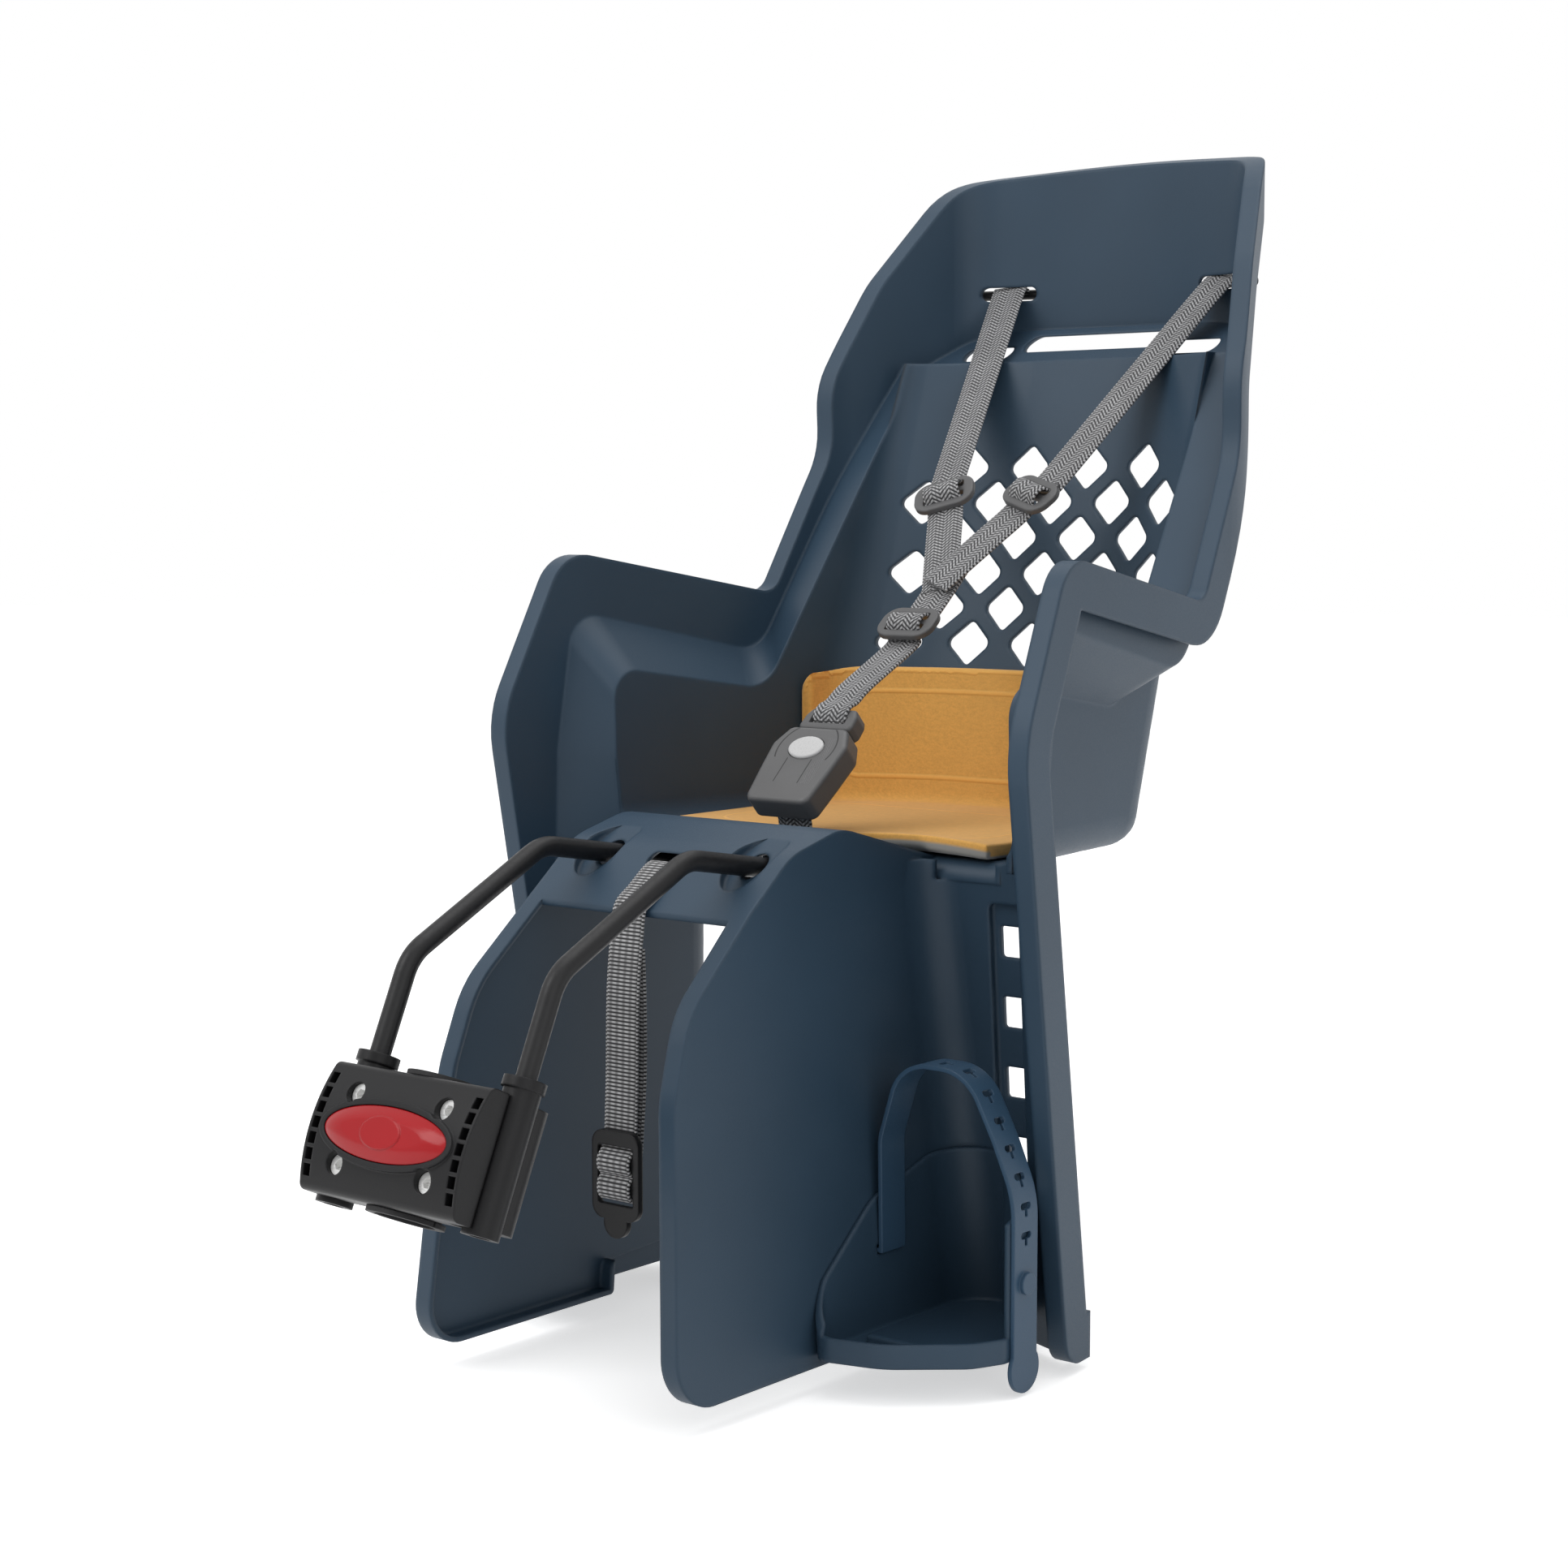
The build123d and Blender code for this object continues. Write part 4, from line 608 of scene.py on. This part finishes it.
def frame_loop():
    """The hanging strap: out of the apron's slot, down over the lock's two bars and back up behind."""
    run = [*FROM_SLOT, *TO_LOCK]
    for bar in BARS_Z:
        run += [(OVER_BARS_Y, bar + BAR_HALF), (OVER_BARS_Y, bar - BAR_HALF),
                (PLATE_Y + WEB_THICK, bar - BELOW_BAR)]
    run += BACK_UP
    points = [Vector((0, y, z)) for y, z in run]
    last = len(points) - 1
    normals = []
    for i in range(len(points)):
        along = points[min(i + 1, last)] - points[max(i - 1, 0)]
        normals.append(Vector((1, 0, 0)).cross(along))
    strip("frame_webbing", points, normals, FRAME_STRAP_WIDTH, WEB_THICK, "seat", "frame_webbing",
          "frame_strap", steps=6)


frame_loop()


# Felt pad

PAD_VOXEL = 0.0020
PAD_SMOOTHING = 8
PAD_CORNER = 0.022
# The pale rim of the back part: its width, and the height where it starts
RIM_WIDTH = 0.0035
RIM_FOOT_Z = 0.160
# The front edge's curl: from one x to the other, how far back it reaches and how high it lifts
CURL_FROM_X = 0.020
CURL_TO_X = 0.135
CURL_REACH = 0.030
CURL_LIFT = 0.0035
# The cut edge at the front, and the z of a normal below which the surface counts as underside
CUT_DEPTH = 0.0035
CUT_HEIGHT = 0.0062
UNDERSIDE = -0.35


def softened(source, name):
    """A copy of a CAD piece, remeshed in small voxels and smoothed."""
    piece = bpy.data.objects.new(name, source.data.copy())
    scene.collection.objects.link(piece)
    remesh = piece.modifiers.new("remesh", "REMESH")
    remesh.mode = "VOXEL"
    remesh.voxel_size = PAD_VOXEL
    soften = piece.modifiers.new("soften", "SMOOTH")
    soften.factor = 0.5
    soften.iterations = PAD_SMOOTHING
    bpy.context.view_layer.update()
    graph = bpy.context.evaluated_depsgraph_get()
    data = bpy.data.meshes.new_from_object(piece.evaluated_get(graph))
    piece.modifiers.clear()
    piece.data = data
    return piece


def pad():
    """The felt pad: its solid softened, upper corners rounded, front edge lifted at one side.
    Two attributes tell the felt where the rim is, and where the cut edge and the underside are."""
    piece = softened(nodes["seat_pad"], "felt_pad")
    data = piece.data
    low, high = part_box("seat_pad")
    under = data.attributes.new("under", "FLOAT", "POINT")
    rim = data.attributes.new("rim", "FLOAT", "POINT")
    facing = [vertex.normal.z for vertex in data.vertices]
    for vertex in data.vertices:
        x, y, z = vertex.co
        out_x = abs(x) - (high.x - PAD_CORNER)
        out_z = z - (high.z - PAD_CORNER)
        reach = math.hypot(out_x, out_z)
        in_corner = out_x > 0 and out_z > 0
        if in_corner and reach > PAD_CORNER:
            vertex.co.x = math.copysign(high.x - PAD_CORNER + out_x * PAD_CORNER / reach, x)
            vertex.co.z = high.z - PAD_CORNER + out_z * PAD_CORNER / reach
        edge = max(out_x, out_z, reach if in_corner else 0.0)
        rim.data[vertex.index].value = 1.0 if z > RIM_FOOT_Z and edge > PAD_CORNER - RIM_WIDTH else 0.0
        if CURL_FROM_X < x < CURL_TO_X:
            curl = math.sin((x - CURL_FROM_X) / (CURL_TO_X - CURL_FROM_X) * math.pi)
            front = max(0.0, 1.0 - (y - low.y) / CURL_REACH)
            vertex.co.z += CURL_LIFT * curl * front * front
        cut = y < low.y + CUT_DEPTH and z < low.z + CUT_HEIGHT
        under.data[vertex.index].value = 1.0 if cut or facing[vertex.index] < UNDERSIDE else 0.0
    for polygon in data.polygons:
        polygon.use_smooth = True
    data.materials.clear()
    data.materials.append(materials["pad_felt"])
    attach(piece, "seat")
    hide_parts("seat_pad")


pad()


# Stage: camera, floor and light

CAMERA_AT = (1.0891, -1.0423, 0.3350)
CAMERA_AZIMUTH = math.radians(39.0)
CAMERA_PITCH = math.radians(5.4447)
CAMERA_LENS = 65.10
SENSOR_WIDTH = 36.0
CLIP_END = 50
FLOOR_REACH = 12.0
FLOOR_GAP = 0.002
FLOOR_GLOW = 0.56
SKY_LIGHT = 0.50
WHITE = (1, 1, 1, 1)
# Each lamp's name, place, size in metres and power in watts
LAMPS = (
    ("key", (-1.2, -2.2, 2.6), 2.2, 46.0),
    ("fill", (2.8, -1.2, 1.4), 2.4, 13.0),
    ("top", (0.2, 0.6, 3.0), 2.6, 34.0),
)
LAMP_TARGET = Vector((0, 0.3, 0.2))


def place_camera():
    """The photo's camera: looking down a little, from the front and the left of the seat."""
    right = Vector((math.cos(CAMERA_AZIMUTH), math.sin(CAMERA_AZIMUTH), 0))
    level = Vector((math.sin(CAMERA_AZIMUTH), -math.cos(CAMERA_AZIMUTH), 0))
    back = level * math.cos(CAMERA_PITCH) + Vector((0, 0, math.sin(CAMERA_PITCH)))
    up = back.cross(right)
    lens = bpy.data.cameras.new("camera")
    lens.lens = CAMERA_LENS
    lens.sensor_width = SENSOR_WIDTH
    lens.clip_end = CLIP_END
    camera = bpy.data.objects.new("camera", lens)
    turn = Matrix((right, up, back)).transposed()
    camera.matrix_world = Matrix.Translation(CAMERA_AT) @ turn.to_4x4()
    scene.collection.objects.link(camera)
    scene.camera = camera


def seen_rays(tree):
    """1 for a ray that shows the surround itself: straight from the camera, mirrored or let through."""
    rays = tree.nodes.new("ShaderNodeLightPath").outputs
    seen = rays["Is Camera Ray"]
    for name in ("Is Glossy Ray", "Is Transmission Ray"):
        either = tree.nodes.new("ShaderNodeMath")
        either.operation = "MAXIMUM"
        tree.links.new(seen, either.inputs[0])
        tree.links.new(rays[name], either.inputs[1])
        seen = either.outputs[0]
    return seen


def lay_floor():
    """A white floor just below the part; its glow is seen and mirrored, and gives no soft light."""
    data = bpy.data.meshes.new("floor")
    z = cad_low.z - FLOOR_GAP
    corners = [(-FLOOR_REACH, -FLOOR_REACH, z), (FLOOR_REACH, -FLOOR_REACH, z),
               (FLOOR_REACH, FLOOR_REACH, z), (-FLOOR_REACH, FLOOR_REACH, z)]
    data.from_pydata(corners, [], [(0, 1, 2, 3)])
    floor = bpy.data.objects.new("floor", data)
    scene.collection.objects.link(floor)
    g = Graph("floor")
    tint = g.mix(g.noise(scale=0.8, detail=2.0), (0.90, 0.90, 0.90), (0.93, 0.93, 0.93))
    g.wire(Base_Color=tint, Emission_Strength=g.product(seen_rays(g.tree), FLOOR_GLOW))
    g.set(Roughness=0.9, Specular_IOR_Level=0.0, Emission_Color=WHITE)
    data.materials.append(g.material)


def light_sky():
    """A sky that gives soft light and is itself seen as plain white."""
    world = bpy.data.worlds.new("studio")
    scene.world = world
    world.use_nodes = True
    sky = world.node_tree
    light = sky.nodes["Background"]
    light.inputs["Color"].default_value = WHITE
    light.inputs["Strength"].default_value = SKY_LIGHT
    white = sky.nodes.new("ShaderNodeBackground")
    white.inputs["Color"].default_value = WHITE
    white.inputs["Strength"].default_value = 1.0
    blend = sky.nodes.new("ShaderNodeMixShader")
    sky.links.new(seen_rays(sky), blend.inputs[0])
    sky.links.new(light.outputs[0], blend.inputs[1])
    sky.links.new(white.outputs[0], blend.inputs[2])
    sky.links.new(blend.outputs[0], sky.nodes["World Output"].inputs["Surface"])


def hang_lamps():
    """Large soft lamps, each turned to the part."""
    for name, place, size, power in LAMPS:
        lamp = bpy.data.lights.new(name, "AREA")
        lamp.size = size
        lamp.energy = power
        item = bpy.data.objects.new(name, lamp)
        item.location = place
        item.rotation_mode = "QUATERNION"
        item.rotation_quaternion = (LAMP_TARGET - Vector(place)).to_track_quat("-Z", "Y")
        scene.collection.objects.link(item)


place_camera()
lay_floor()
light_sky()
hang_lamps()
